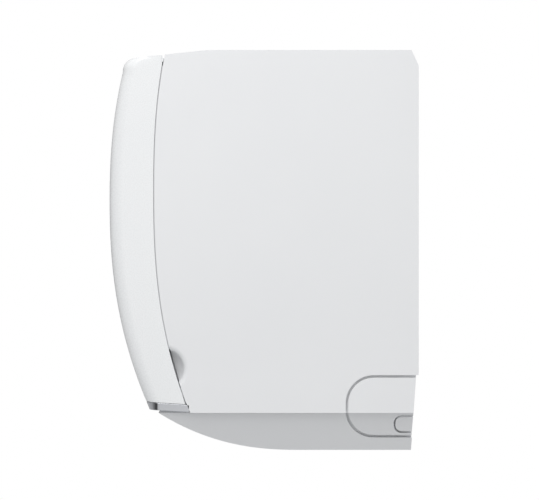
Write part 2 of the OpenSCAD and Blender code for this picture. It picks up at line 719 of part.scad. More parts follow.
// A slab is [lower or upper inner corner, angle of its run, length]
front_slab = [[coil_back_y, coil_low_z], 90, front_slab_h];
upper_run = [apex_y, apex_z] - [coil_back_y, coil_bend_z + 0.5];
upper_slab = [[coil_back_y, coil_bend_z + 0.5], atan2(upper_run[1], upper_run[0]), norm(upper_run)];
rear_run = rear_foot - [apex_y + 3, apex_z];
rear_slab = [[apex_y + 3, apex_z], atan2(rear_run[1], rear_run[0]), norm(rear_run)];
function slab_point(s, u, v) =
    s[0] + u * [cos(s[1]), sin(s[1])] + v * [-sin(s[1]), cos(s[1])];
function slab_tubes(s) = let (n = floor((s[2] - 8) / tube_pitch), rest = s[2] - (n - 1) * tube_pitch)
    [for (i = [0:n - 1], row = [0, 1])
        slab_point(s, rest / 2 + i * tube_pitch, coil_t / 4 + row * coil_t / 2)];
module slab_outline(s, grow) translate(s[0]) rotate(s[1])
    translate([-grow, -grow]) square([s[2] + 2 * grow, coil_t + 2 * grow]);
module tube_holes(s) for (p = slab_tubes(s)) translate(p) circle(tube_r);
module fin_slab(s) color("lightgray") in_frame() along_x(coil_left, coil_right) difference() {
    slab_outline(s, 0);
    tube_holes(s);
}
module front_fins() fin_slab(front_slab);
module upper_fins() fin_slab(upper_slab);
module rear_fins() fin_slab(rear_slab);
module coil_end_plates() color("silver") in_frame()
    for (x = [coil_left - end_plate_t, coil_right])
        along_x(x, x + end_plate_t) for (s = slabs) difference() {
            slab_outline(s, 0);
            tube_holes(s);
        }
// A half-round return bend between two tubes, on the side s of the coil
module return_bend(a, b, x, s) {
    mid = (a + b) / 2;
    d = b - a;
    translate([x, mid[0], mid[1]]) rotate([atan2(d[1], d[0]), 0, 0])
        rotate([0, 0, s > 0 ? -90 : 90])
            rotate_extrude(angle = 180) translate([norm(d) / 2, 0]) circle(tube_r);
}
slabs = [front_slab, upper_slab, rear_slab];
module coil_tubes() color("peru") in_frame() for (s = slabs, p = slab_tubes(s))
    rod_x(coil_left - end_plate_t, coil_right + end_plate_t, p[0], p[1], tube_r);
module return_bends() color("peru") in_frame() for (s = slabs) {
    tubes = slab_tubes(s);
    for (i = [0:2:len(tubes) - 2])
        return_bend(tubes[i], tubes[i + 1], coil_left - end_plate_t, -1);
    // the last two of the rear slab lead to the pipes
    for (i = [1:2:len(tubes) - (s == rear_slab ? 5 : 3)])
        return_bend(tubes[i], tubes[i + 1], coil_right + end_plate_t, 1);
}
module coil_sensor() color("dimgray") in_frame() {
    tubes = slab_tubes(front_slab);
    p = (tubes[1] + tubes[2]) / 2;
    rod_x(coil_right + end_plate_t, coil_right + end_plate_t + 5, p[0], p[1], 3);
}

// ---- filters, bowed frames with a fine mesh
filter_path = concat(
    seam_path(coil_low_z + 8, frame_top_z - 22, 5, 7),
    [[seam_y(frame_top_z) + 8, frame_top_z - 8], [-top_flat_d - 14, unit_h - 17]],
    [[-top_flat_d + 11, unit_h - 12], [fan_y - 7, unit_h - 10]]
);
module filter(x) color("darkgray") in_frame() {
    last = len(filter_path) - 1;
    middle = (x[0] + x[1]) / 2;
    for (rail = [[x[0], x[0] + 6], [middle - 2, middle + 2], [x[1] - 6, x[1]]])
        along_x(rail[0], rail[1]) band(filter_path, -1.2, 1.2);
    for (i = [0:2:last - 1])
        along_x(x[0], x[1]) band([filter_path[i], filter_path[i] + 0.2 * (filter_path[i + 1]
            - filter_path[i])], -1.2, 1.2);
    along_x(x[0], x[1]) band(filter_path, -0.3, 0.3);
}
module filter_left() filter(filter_left_x);
module filter_right() filter(filter_right_x);

// ---- fan
hub_l = 14;
disc_t = 2.4;
module fan_rotor() color("dimgray") in_frame() {
    along_x(fan_left, fan_right) for (i = [0:blade_count - 1])
        translate([fan_y, fan_z]) rotate(i * 360 / blade_count) translate([fan_r - 7, 0])
            rotate(38) translate([-5, -0.6]) square([10, 1.2]);
    span = (fan_right - fan_left - disc_t) / (ring_count + 1);
    for (i = [1:ring_count]) along_x(fan_left + i * span, fan_left + i * span + disc_t) difference() {
        translate([fan_y, fan_z]) circle(fan_r);
        translate([fan_y, fan_z]) circle(fan_r - 13);
    }
    // end discs and hubs
    for (x = [fan_left, fan_right - disc_t]) difference() {
        union() {
            rod_x(x, x + disc_t, fan_y, fan_z, fan_r);
            rod_x(
                x - (x < 0 ? 0 : hub_l - disc_t), x + (x < 0 ? hub_l : disc_t),
                fan_y, fan_z, shaft_r + 5
            );
        }
        rod_x(x - 30, x + 30, fan_y, fan_z, shaft_r);
    }
}
motor_x = [duct_right + 8, duct_right + 8 + motor_l];
module fan_shaft() color("silver") in_frame() {
    rod_x(duct_left + 1, fan_left + hub_l, fan_y, fan_z, shaft_r);
    rod_x(fan_right - hub_l, motor_x[0] + 20, fan_y, fan_z, shaft_r);
}
module fan_bearing() color("goldenrod") in_frame() difference() {
    rod_x(duct_left, duct_left + bearing_l, fan_y, fan_z, bearing_r - 5);
    rod_x(duct_left - 1, duct_left + bearing_l + 1, fan_y, fan_z, shaft_r + run_gap);
}
module bearing_mount() color("#303030") in_frame() difference() {
    rod_x(duct_left, duct_left + bearing_l, fan_y, fan_z, bearing_r);
    rod_x(duct_left - 1, duct_left + bearing_l + 1, fan_y, fan_z, bearing_r - 5);
}
module fan_motor() color("gray") in_frame() difference() {
    union() {
        rod_x(motor_x[0] + 6, motor_x[1] - 6, fan_y, fan_z, motor_r);
        rod_x(motor_x[0], motor_x[1], fan_y, fan_z, 13);
    }
    rod_x(motor_x[0] - 1, motor_x[0] + 22, fan_y, fan_z, shaft_r + run_gap);
}
clamp_x = [motor_x[0] + 12, motor_x[0] + 28];
module motor_cradle() color(grey_white) in_frame() along_x(clamp_x[0], clamp_x[1]) difference() {
    translate([fan_y, fan_z - motor_r - 5])
        square([back_y - wall_t - fan_y, motor_r + 5]);
    translate([fan_y, fan_z]) circle(motor_r);
    translate([fan_y + motor_r + 8, fan_z - motor_r]) circle(1.4);
}
module motor_clamp() color("silver") in_frame() along_x(clamp_x[0], clamp_x[1]) {
    difference() {
        translate([fan_y, fan_z]) circle(motor_r + 2);
        translate([fan_y, fan_z]) circle(motor_r);
        translate([fan_y - motor_r - 10, fan_z - motor_r - 10]) square([2 * motor_r + 20, motor_r + 10]);
    }
    translate([fan_y + motor_r, fan_z]) square([18, 2]);
    translate([fan_y - motor_r - 2, fan_z - 6]) square([2, 6]);
}

// ---- electrics
box_t = 2;
board_t = 1.6;
box_x = [duct_right + 8, half_w - 16];
box_y = [coil_front_y + 2, fan_y - motor_r - 5];
box_z = [82, unit_h - 47];
module electrical_box() color("ivory") in_frame() difference() {
    block(box_x, box_y, box_z);
    block([box_x[0] + box_t, box_x[1] - box_t], [box_y[0] - 1, box_y[1] - box_t],
        [box_z[0] + box_t, box_z[1] - box_t]);
    // way in for the cord
    rod_x(box_x[1] - 3, box_x[1] + 1, box_y[0] + 14, box_z[0] + 12, 5);
}
module electrical_cover() color("whitesmoke") in_frame() difference() {
    block(
        [box_x[0] + box_t + 0.2, box_x[1] - box_t - 0.2], [box_y[0], box_y[0] + box_t],
        [box_z[0] + box_t + 0.2, box_z[1] - box_t - 0.2]
    );
    rod_y(button_x, box_y[0] - 1, box_y[0] + 3, button_z, button_r + 1);
}
board_y = box_y[1] - 8;
module control_board() color("darkgreen") in_frame() {
    block(
        [box_x[0] + 3, box_x[1] - 3], [board_y, board_y + board_t],
        [box_z[0] + 34, box_z[1] - 6]
    );
    for (x = [box_x[0] + 7, box_x[1] - 7], z = [box_z[0] + 38, box_z[1] - 10])
        rod_y(x, board_y + board_t, box_y[1] - box_t, z, 2);
}
module board_components() color("royalblue") in_frame() {
    low = box_z[0] + 44;
    block([box_x[0] + 8, box_x[0] + 26], [board_y - 13, board_y], [low, low + 15]);
    block([box_x[0] + 8, box_x[0] + 26], [board_y - 13, board_y], [low + 19, low + 34]);
    block([box_x[0] + 32, box_x[1] - 8], [board_y - 15, board_y], [low, low + 26]);
    rod_y(box_x[0] + 18, board_y - 15, board_y, box_z[1] - 24, 8);
    rod_y(box_x[0] + 40, board_y - 12, board_y, box_z[1] - 22, 5);
    block([box_x[0] + 34, box_x[1] - 10], [board_y - 3, board_y], [low + 36, low + 46]);
}
module terminal_block() color("#404040") in_frame() difference() {
    block([box_x[0] + 6, box_x[1] - 14], [board_y - 8, box_y[1] - box_t], [box_z[0] + 8, box_z[0] + 28]);
    for (i = [0:3])
        rod_y(box_x[0] + 13 + i * 10, board_y - 9, board_y - 4, box_z[0] + 18, 3);
}
module cord_clamp() color("black") in_frame()
    block([box_x[1] - 12, box_x[1] - 4], [board_y - 6, box_y[1] - box_t], [box_z[0] + 5, box_z[0] + 22]);
module receiver_board() color("darkgreen") in_frame()
    block(
        [receiver_x[0] - 7, receiver_x[1] + 7], [board_front_y, board_front_y + board_t],
        [receiver_z[0] - 3, receiver_z[1] + 3]
    );
module auto_button() color("lightgray") in_frame() {
    face = seam_y(button_z) - frame_forward;
    rod_y(button_x, face - 1.5, face + 7, button_z, button_r);
    rod_y(button_x, face + case_t + 1.4, face + case_t + 3, button_z, button_r + 1.6);
}

// ---- louvre
stepper_r = 9.5;
function louvre_points(lift) = [for (i = [0:14])
    let (y = -louvre_front_d + (louvre_front_d + louvre_rear_y) * i / 14) [y, under_z(y) + lift]];
module louvre() color(white) in_frame() {
    along_x(-louvre_half, louvre_half) polygon(concat(
        louvre_points(0), [for (i = [14:-1:0]) louvre_points(louvre_t)[i]]
    ));
    both_ends() along_x(louvre_half - 3, louvre_half) {
        translate([louvre_y, louvre_z]) circle(6);
        polygon(concat(
            [[louvre_y, louvre_z + 5.9], [louvre_y - 30, louvre_z + 4]],
            [for (i = [3:13]) louvre_points(1)[i]], [[louvre_y + 6, louvre_z]]
        ));
    }
    both_ends() rod_x(louvre_half - 3, louvre_half + 5, louvre_y, louvre_z, louvre_pin_r);
}
module louvre_motor() color("silver") in_frame() difference() {
    union() {
        rod_x(louvre_half + 6, louvre_half + 20, louvre_y, louvre_z, stepper_r);
        rod_x(louvre_half + 4.4, louvre_half + 6, louvre_y, louvre_z, 4.5);
    }
    rod_x(louvre_half + 4, louvre_half + 5.4, louvre_y, louvre_z, louvre_pin_r + run_gap);
}

// ---- vertical vanes, all moved by one bar
module vane(i) color("white") in_frame() at_floor(vane_x(i), vane_t0, 0) {
    // drawn with +Y up the floor, so the air leaves towards -Y
    rotate([90, 0, 90]) translate([0, 0, -vane_t / 2]) linear_extrude(vane_t)
        polygon([[6, 1.2], [-26, 1.2], [-26, vane_top], [-8, vane_top], [6, 20]]);
    translate([0, 0, -wall_t]) cylinder(h = wall_t + 4, r = vane_pin_r);
    translate([0, vane_t0 - link_t, vane_top - 1]) cylinder(h = 6, r = link_pin_r);
}
link_gap = 0.4;
link_hole_r = link_pin_r + link_gap;
module link_bar() color("lightgray") in_frame() difference() {
    at_floor(0, link_t, vane_top + 1.2)
        translate([vane_x(1) - 8, -4.4, 0]) cube([vane_x(vane_count) - vane_x(1) + 16, 11.4, 2.4]);
    for (i = [1:vane_count]) at_floor(vane_x(i), link_t, vane_top) {
        cylinder(h = 8, r = link_hole_r);
        translate([0, 2.7, 0]) cylinder(h = 8, r = link_hole_r);
        translate([-link_hole_r, 0, 0]) cube([2 * link_hole_r, 2.7, 8]);
    }
}
module vane_motor() color("silver") in_frame() at_floor(vane_x(1), vane_t0, -wall_t - 16.2)
    cylinder(h = 16, r = stepper_r);

// ---- pipes
gas_at = slab_tubes(rear_slab)[len(slab_tubes(rear_slab)) - 2];
liquid_at = slab_tubes(rear_slab)[len(slab_tubes(rear_slab)) - 1];
gas_z = 36;
liquid_z = 14;
gas_x = half_w - 44;
liquid_x = half_w - 30;
pipe_bend = 16;
gas_end_x = -120;
liquid_end_x = -60;
// A pipe from the coil to the right, down behind the motor and back along the wall
module pipe_run(p, low_z, x, r, end_x) {
    rod_x(coil_right + end_plate_t, x - pipe_bend, p[0], p[1], r);
    translate([x - pipe_bend, p[0], p[1] - pipe_bend]) rotate([90, 0, 0])
        quarter_bend(pipe_bend, r);
    translate([x, p[0], low_z + pipe_bend]) cylinder(h = p[1] - low_z - 2 * pipe_bend, r = r);
    translate([x - pipe_bend, p[0], low_z + pipe_bend]) rotate([-90, 0, 0])
        quarter_bend(pipe_bend, r);
    rod_x(end_x, x - pipe_bend, p[0], low_z, r);
}
module gas_pipe() color("peru") in_frame() pipe_run(gas_at, gas_z, gas_x, gas_r, gas_end_x);
module liquid_pipe() color("peru") in_frame()
    pipe_run(liquid_at, liquid_z, liquid_x, liquid_r, liquid_end_x);
gas_sleeve_r = 10.5;
liquid_sleeve_r = 8.5;
module pipe_insulation() color("#e8e8e8") in_frame() {
    difference() {
        rod_x(gas_end_x + 40, gas_x - pipe_bend, gas_at[0], gas_z, gas_sleeve_r);
        rod_x(gas_end_x, gas_x, gas_at[0], gas_z, gas_r);
    }
    difference() {
        rod_x(liquid_end_x + 40, liquid_x - pipe_bend, liquid_at[0], liquid_z, liquid_sleeve_r);
        rod_x(liquid_end_x, liquid_x, liquid_at[0], liquid_z, liquid_r);
    }
}
// A flare nut, its open end turned to -X
module flare_nut(end_x, p, z, pipe_r, nut_r, thread_r) difference() {
    translate([end_x - 16, p[0], z]) rotate([0, 90, 0]) cylinder(h = 22, r = nut_r, $fn = 6);
    rod_x(end_x - 17, end_x, p[0], z, thread_r);
    rod_x(end_x - 1, end_x + 10, p[0], z, pipe_r);
}
gas_thread_r = 7.2;
liquid_thread_r = 5.2;
module flare_nuts() color("gold") in_frame() {
    flare_nut(gas_end_x, gas_at, gas_z, gas_r, 11, gas_thread_r);
    flare_nut(liquid_end_x, liquid_at, liquid_z, liquid_r, 8.5, liquid_thread_r);
}
holder_x = [120, 150];
through_holder = [holder_x[0] - 10, holder_x[1] + 10];
module pipe_holder() color(grey_white) in_frame() difference() {
    block(holder_x, [liquid_at[0] - 26, -4], [case_t + 0.1, gas_z + 16]);
    rod_x(through_holder[0], through_holder[1], gas_at[0], gas_z, gas_sleeve_r);
    rod_x(through_holder[0], through_holder[1], liquid_at[0], liquid_z, liquid_sleeve_r);
    block(through_holder, [liquid_at[0] - 30, gas_at[0]], [0, gas_z + 20]);
    block(through_holder, [liquid_at[0] - 30, liquid_at[0]], [0, liquid_z + 8]);
}
module screws() color("gray") in_frame() for (x = screw_x) {
    rod_y(x, screw_face_y - 1.8, screw_face_y, screw_z, screw_head_r);
    rod_y(x, screw_face_y, coil_front_y + 5, screw_z, screw_r);
}

mounting_plate();
base_chassis();
bottom_housing();
case();
drain_pan();
drain_hose();
front_fins();
upper_fins();
rear_fins();
coil_tubes();
return_bends();
coil_end_plates();
coil_sensor();
filter_left();
filter_right();
fan_rotor();
fan_shaft();
fan_bearing();
bearing_mount();
fan_motor();
motor_cradle();
motor_clamp();
electrical_box();
electrical_cover();
control_board();
board_components();
terminal_block();
cord_clamp();
receiver_board();
auto_button();
front_panel();
panel_trim();
panel_latches();
hinge_pins();
receiver_lens();
louvre();
louvre_motor();
link_bar();
vane_motor();
gas_pipe();
liquid_pipe();
flare_nuts();
pipe_insulation();
pipe_holder();
screws();
pipe_cover_right();
pipe_cover_left();
cable_cover_right();
cable_cover_left();
for (i = [1:vane_count]) vane(i);
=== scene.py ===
# Looks of a wall-mounted air conditioner indoor unit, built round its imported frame.
# X runs along the wall, -Y is the front and +Z is up. Lengths below are millimetres, heights are
# above the unit's lowest point, and place() turns both into the frame's metres.
import json
import math

import bmesh
import bpy
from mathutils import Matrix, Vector


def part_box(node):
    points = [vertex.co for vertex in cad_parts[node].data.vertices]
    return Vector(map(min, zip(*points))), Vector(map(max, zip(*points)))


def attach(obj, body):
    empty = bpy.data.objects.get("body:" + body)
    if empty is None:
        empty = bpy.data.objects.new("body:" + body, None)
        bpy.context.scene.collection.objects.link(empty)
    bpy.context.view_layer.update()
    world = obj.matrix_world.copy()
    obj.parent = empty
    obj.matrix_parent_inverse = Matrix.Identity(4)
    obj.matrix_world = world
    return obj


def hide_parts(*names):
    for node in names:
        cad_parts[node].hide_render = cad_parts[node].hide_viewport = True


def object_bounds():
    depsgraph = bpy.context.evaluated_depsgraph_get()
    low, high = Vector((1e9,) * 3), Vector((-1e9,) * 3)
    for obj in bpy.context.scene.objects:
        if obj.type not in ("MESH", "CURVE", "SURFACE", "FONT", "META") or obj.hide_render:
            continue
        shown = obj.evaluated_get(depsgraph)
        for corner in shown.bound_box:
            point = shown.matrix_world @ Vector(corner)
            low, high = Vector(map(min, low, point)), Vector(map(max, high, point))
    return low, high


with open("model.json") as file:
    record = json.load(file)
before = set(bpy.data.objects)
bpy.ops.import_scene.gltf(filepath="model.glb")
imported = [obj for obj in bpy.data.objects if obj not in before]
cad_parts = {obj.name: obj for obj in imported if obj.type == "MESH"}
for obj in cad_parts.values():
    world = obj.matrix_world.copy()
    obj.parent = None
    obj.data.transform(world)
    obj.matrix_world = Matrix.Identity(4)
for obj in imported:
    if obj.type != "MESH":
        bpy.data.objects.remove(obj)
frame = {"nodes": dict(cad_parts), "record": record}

LOW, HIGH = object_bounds()
BASE_Z = LOW[2]
MM = 0.001
HALF = HIGH[0] / MM
TOP = (HIGH[2] - LOW[2]) / MM
DEPTH = -LOW[1] / MM


def place(x, y, z):
    return Vector((x * MM, y * MM, BASE_Z + z * MM))


def node_span(name, axis):
    """Lowest and highest value of a node along an axis, in millimetres of this script."""
    low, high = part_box(name)
    shift = BASE_Z if axis == 2 else 0.0
    return (low[axis] - shift) / MM, (high[axis] - shift) / MM


# ---------------------------------------------------------------- outline of the casing
SEAM_GAP = 0.7          # gap that is seen between the panel and the cover
HINGE_GAP = 0.8         # gap that places the hinge and the strip
WALL = 2.5              # cover and lower housing
PANEL_WALL = 3.0
SEAM_BACK, SEAM_BOW, SEAM_MID = 32.0, 38.0, 185.0     # the seam's curve
PANEL_BOW, PANEL_MID = 43.5, 178.0                    # the panel's face
LOWER_H = 27.0          # height of the lower housing
LOWER_TIP = 185.0       # how far forward it reaches
LOWER_FLAT = 84.0       # where its underside starts to rise
END_R = 10.0            # panel's rounded ends
CORNER_R = 9.0          # panel's upper front corner
TRIM_Z, TRIM_FALL = 35.0, 2.0
TOP_FLAT, TOP_FALL = 151.0, 3.2                       # the top falls in front of TOP_FLAT
SEAM_TOP_Z = TOP - TOP_FALL
TOP_SLOPE = TOP_FALL / (DEPTH - SEAM_BACK - 7.0 - TOP_FLAT)
REAR_IN, REAR_SLOPE = 1.4, 3.6                        # rear edge beside the knock-out covers
HINGE_R = 3.0           # hinge lugs


def seam_y(z):
    """The seam between the front panel and the cover."""
    return -(DEPTH - SEAM_BACK) + SEAM_BOW * (abs(z - SEAM_MID) / SEAM_MID) ** 2.5


def panel_y(z):
    """The face of the front panel."""
    return -DEPTH + PANEL_BOW * (abs(z - PANEL_MID) / PANEL_MID) ** 2.3


def top_z(y):
    """The top of the unit, which falls a little towards the front."""
    return TOP - max(0.0, -y - TOP_FLAT) * TOP_SLOPE


def under_z(y):
    """The underside, which curves up towards the front."""
    return LOWER_H * (max(0.0, -y - LOWER_FLAT) / (LOWER_TIP - LOWER_FLAT)) ** 2.4


def rear_y(z):
    """The rear edge below COVER_TOP, which leans in towards the underside."""
    return -REAR_IN - REAR_SLOPE * (COVER_TOP - z) / COVER_TOP


def end_x(z):
    """Where the end of the casing lies: flat above the lower housing, sloping in below."""
    return HALF if z > LOWER_H + 0.01 else HALF - 3.0 - 20.0 * (28.0 - z) / 29.0


# The strip's upper edge, and the panel's lower edge above it, fall towards the seam
TRIM_FRONT = panel_y(TRIM_Z)
TRIM_SLOPE = TRIM_FALL / (seam_y(TRIM_Z - TRIM_FALL) - HINGE_GAP - TRIM_FRONT)


def trim_top(y):
    return TRIM_Z - TRIM_SLOPE * (y - TRIM_FRONT)


PIVOT_Y = seam_y(SEAM_TOP_Z) - HINGE_GAP - HINGE_R
PIVOT_Z = top_z(PIVOT_Y) - HINGE_R
LUG_X = (-HALF + 70.0, 0.0, HALF - 70.0)
LUG_W = 8.0

# Knock-out covers at the lower rear corners, and the groove round them
COVER_TOP, COVER_LOW, COVER_DEPTH, COVER_R, GROOVE = 53.0, 10.0, 51.0, 19.0, 1.8
PAST_REAR = 12.0        # how far a cut runs past the rear edge

# Finger notch in the end wall: a bowl whose centre lies NOTCH_OUT outside the wall
NOTCH_Y, NOTCH_Z = seam_y(SEAM_MID) + 7.0, 58.5
NOTCH_R, NOTCH_OUT, NOTCH_RIM = 14.6, 3.6, 4.5


def steps(a, b, n):
    return [a + (b - a) * i / n for i in range(n + 1)]


def arc(cy, cz, r, a0, a1, n):
    return [(cy + r * math.cos(math.radians(a)), cz + r * math.sin(math.radians(a)))
            for a in steps(a0, a1, n)]


# ---------------------------------------------------------------- mesh tools
def new_piece(name, points, faces):
    mesh = bpy.data.meshes.new(name)
    mesh.from_pydata([place(*p) for p in points], [], faces)
    mesh.validate()
    obj = bpy.data.objects.new(name, mesh)
    bpy.context.scene.collection.objects.link(obj)
    bm = bmesh.new()
    bm.from_mesh(mesh)
    bmesh.ops.remove_doubles(bm, verts=bm.verts, dist=0.00001)
    bmesh.ops.recalc_face_normals(bm, faces=bm.faces)
    bm.to_mesh(mesh)
    bm.free()
    return obj


def bake(obj):
    """Applies the modifiers, so that the mesh itself has the finished shape."""
    graph = bpy.context.evaluated_depsgraph_get()
    mesh = bpy.data.meshes.new_from_object(obj.evaluated_get(graph))
    obj.modifiers.clear()
    obj.data = mesh
    return obj


def thicken(obj, wall, outward):
    """Gives a skin its wall, inward from the side that looks along outward."""
    lean = sum((face.normal * face.area for face in obj.data.polygons), Vector())
    if lean.dot(Vector(outward)) < 0:
        obj.data.flip_normals()
    mod = obj.modifiers.new("wall", "SOLIDIFY")
    mod.thickness = wall * MM
    mod.offset = -1.0
    mod.use_even_offset = True
    return bake(obj)


def cut(obj, tool, operation="DIFFERENCE"):
    mod = obj.modifiers.new("cut", "BOOLEAN")
    mod.object = tool
    mod.operation = operation
    mod.solver = "EXACT"
    bake(obj)
    bpy.data.objects.remove(tool)
    return obj


def break_edges(obj, width, segments=2, angle=32.0):
    """Rounds every sharp edge by width, as a mould leaves it, and shades the rest smooth."""
    mod = obj.modifiers.new("edges", "BEVEL")
    mod.width = width * MM
    mod.segments = segments
    mod.limit_method = "ANGLE"
    mod.angle_limit = math.radians(angle)
    mod.harden_normals = True
    mod.use_clamp_overlap = True
    for face in obj.data.polygons:
        face.use_smooth = True
    return bake(obj)


def join(name, pieces):
    """Puts several finished meshes into one object."""
    bm = bmesh.new()
    for piece in pieces:
        bm.from_mesh(piece.data)
        bpy.data.objects.remove(piece)
    mesh = bpy.data.meshes.new(name)
    bm.to_mesh(mesh)
    bm.free()
    obj = bpy.data.objects.new(name, mesh)
    bpy.context.scene.collection.objects.link(obj)
    return obj


def prism(name, outline, x0, x1):
    """A closed outline of (y, z) points run along X."""
    n = len(outline)
    points = [(x0, y, z) for y, z in outline] + [(x1, y, z) for y, z in outline]
    faces = [[i, (i + 1) % n, n + (i + 1) % n, n + i] for i in range(n)]
    return new_piece(name, points, faces + [list(range(n))[::-1], list(range(n, 2 * n))])


def boxes(name, spans):
    """Several bars in one mesh; each span is (x0, x1, y0, y1, z0, z1)."""
    points, faces = [], []
    for x0, x1, y0, y1, z0, z1 in spans:
        k = len(points)
        points += [(x, y, z) for x in (x0, x1) for y in (y0, y1) for z in (z0, z1)]
        faces += [[k + i for i in quad] for quad in (
            (0, 1, 3, 2), (4, 6, 7, 5), (0, 4, 5, 1), (2, 3, 7, 6), (0, 2, 6, 4), (1, 5, 7, 3))]
    return new_piece(name, points, faces)


def sweep(name, path, radius, sides=28):
    """A round tube along a path of (x, y, z) points; radius(i) gives its size at each point."""
    points, faces = [], []
    side = None
    for i, p in enumerate(path):
        here = Vector(p)
        ahead = Vector(path[min(len(path) - 1, i + 1)])
        behind = Vector(path[max(0, i - 1)])
        along = (ahead - behind).normalized()
        side = side or (Vector((0, 0, 1)) if abs(along.z) < 0.9 else Vector((0, 1, 0)))
        side = (side - along * side.dot(along)).normalized()
        other = along.cross(side)
        for k in range(sides):
            a = 2 * math.pi * k / sides
            q = here + radius(i) * (math.cos(a) * side + math.sin(a) * other)
            points.append(tuple(q))
    for i in range(len(path) - 1):
        for k in range(sides):
            m = (k + 1) % sides
            faces.append([i * sides + k, i * sides + m, (i + 1) * sides + m, (i + 1) * sides + k])
    faces += [list(range(sides))[::-1], [(len(path) - 1) * sides + k for k in range(sides)]]
    obj = new_piece(name, points, faces)
    for face in obj.data.polygons:
        face.use_smooth = len(face.vertices) == 4
    return obj


def rounded_corner(front, low, high, r, back=None):
    """Outline of a knock-out panel with round front corners, which runs to the casing's rear edge
    unless back takes it further."""
    rear_low, rear_high = [rear_y(z) - 0.5 if back is None else back for z in (low, high)]
    return ([(rear_low, low)] + arc(front + r, low + r, r, -90, -180, 12)
            + arc(front + r, high - r, r, 180, 90, 12) + [(rear_high, high)])


# ---------------------------------------------------------------- materials
def tone(text):
    """An sRGB hex colour as linear red, green, blue and alpha."""
    values = [int(text[i:i + 2], 16) / 255 for i in (1, 3, 5)]
    return tuple(v / 12.92 if v <= 0.04045 else ((v + 0.055) / 1.055) ** 2.4 for v in values) + (1,)


def add(tree, kind, links=None, **settings):
    """Adds one node with its settings, and fills its inputs with values or links."""
    node = tree.nodes.new(kind)
    for key, value in settings.items():
        setattr(node, key, value)
    for key, value in (links or {}).items():
        if isinstance(value, bpy.types.NodeSocket):
            tree.links.new(value, node.inputs[key])
        else:
            node.inputs[key].default_value = value
    return node


def fresh(name):
    """An empty material, its node tree, and the place on the object that patterns start from."""
    mat = bpy.data.materials.new(name)
    mat.use_nodes = True
    tree = mat.node_tree
    tree.nodes.clear()
    place_node = add(tree, "ShaderNodeTexCoord")
    return mat, tree, place_node.outputs["Object"]


def close(mat, tree, shader):
    add(tree, "ShaderNodeOutputMaterial", {"Surface": shader.outputs[0]})
    return mat


def moulded(name, colour, shade, roughness, grain_mm, depth_mm, coat=0.0, spec=0.5):
    """Injection-moulded plastic. Eroded tool steel leaves an even fine grain, and the melt leaves
    a very faint cloudiness, so the eye reads a soft broken gloss and never a mirror."""
    mat, tree, at = fresh(name)
    cloud = add(tree, "ShaderNodeTexNoise", {"Vector": at, "Scale": 1 / 0.09, "Detail": 3.0})
    grain = add(tree, "ShaderNodeTexNoise",
                {"Vector": at, "Scale": 1000.0 / grain_mm, "Detail": 2.0, "Roughness": 0.6})
    mix = add(tree, "ShaderNodeMix", {0: cloud.outputs[0], 6: tone(colour), 7: tone(shade)},
              data_type="RGBA")
    gloss = add(tree, "ShaderNodeMapRange", {"Value": grain.outputs[0], "From Min": 0.3,
                "From Max": 0.7, "To Min": roughness - 0.05, "To Max": roughness + 0.06})
    bump = add(tree, "ShaderNodeBump", {"Height": grain.outputs[0], "Strength": 0.35,
                                        "Distance": depth_mm * MM})
    shader = add(tree, "ShaderNodeBsdfPrincipled", {
        "Base Color": mix.outputs[2], "Roughness": gloss.outputs[0], "Normal": bump.outputs[0],
        "IOR": 1.53, "Specular IOR Level": spec, "Coat Weight": coat, "Coat Roughness": 0.12})
    return close(mat, tree, shader)


def plated(name, colour, shade, roughness, spot_mm, spread=0.08, stretch=(1, 1, 1)):
    """Bare or plated metal. Its finish varies from spot to spot in brightness and in gloss; a
    stretched spot is the grain of rolling, drawing or turning."""
    mat, tree, at = fresh(name)
    turn = add(tree, "ShaderNodeMapping", {"Vector": at, "Scale": stretch})
    spots = add(tree, "ShaderNodeTexNoise",
                {"Vector": turn.outputs[0], "Scale": 1000.0 / spot_mm, "Detail": 4.0})
    mix = add(tree, "ShaderNodeMix", {0: spots.outputs[0], 6: tone(colour), 7: tone(shade)},
              data_type="RGBA")
    gloss = add(tree, "ShaderNodeMapRange", {"Value": spots.outputs[0], "From Min": 0.3,
                "From Max": 0.7, "To Min": max(0.03, roughness - spread),
                "To Max": roughness + spread})
    bump = add(tree, "ShaderNodeBump", {"Height": spots.outputs[0], "Strength": 0.15,
                                        "Distance": 0.02 * MM})
    shader = add(tree, "ShaderNodeBsdfPrincipled", {
        "Base Color": mix.outputs[2], "Roughness": gloss.outputs[0], "Normal": bump.outputs[0],
        "Metallic": 1.0})
    return close(mat, tree, shader)


def spangled_zinc():
    """Hot-dip galvanised sheet: zinc crystals about 9 mm across, each with its own brightness."""
    mat, tree, at = fresh("hot_dip_galvanised_sheet")
    cells = add(tree, "ShaderNodeTexVoronoi", {"Vector": at, "Scale": 1 / 0.009})
    grey = add(tree, "ShaderNodeRGBToBW", {"Color": cells.outputs["Color"]})
    mix = add(tree, "ShaderNodeMix", {0: grey.outputs[0], 6: tone("#9aa1a6"), 7: tone("#c2c8cc")},
              data_type="RGBA")
    gloss = add(tree, "ShaderNodeMapRange", {"Value": grey.outputs[0], "To Min": 0.34,
                                             "To Max": 0.52})
    shader = add(tree, "ShaderNodeBsdfPrincipled", {
        "Base Color": mix.outputs[2], "Roughness": gloss.outputs[0], "Metallic": 1.0})
    return close(mat, tree, shader)


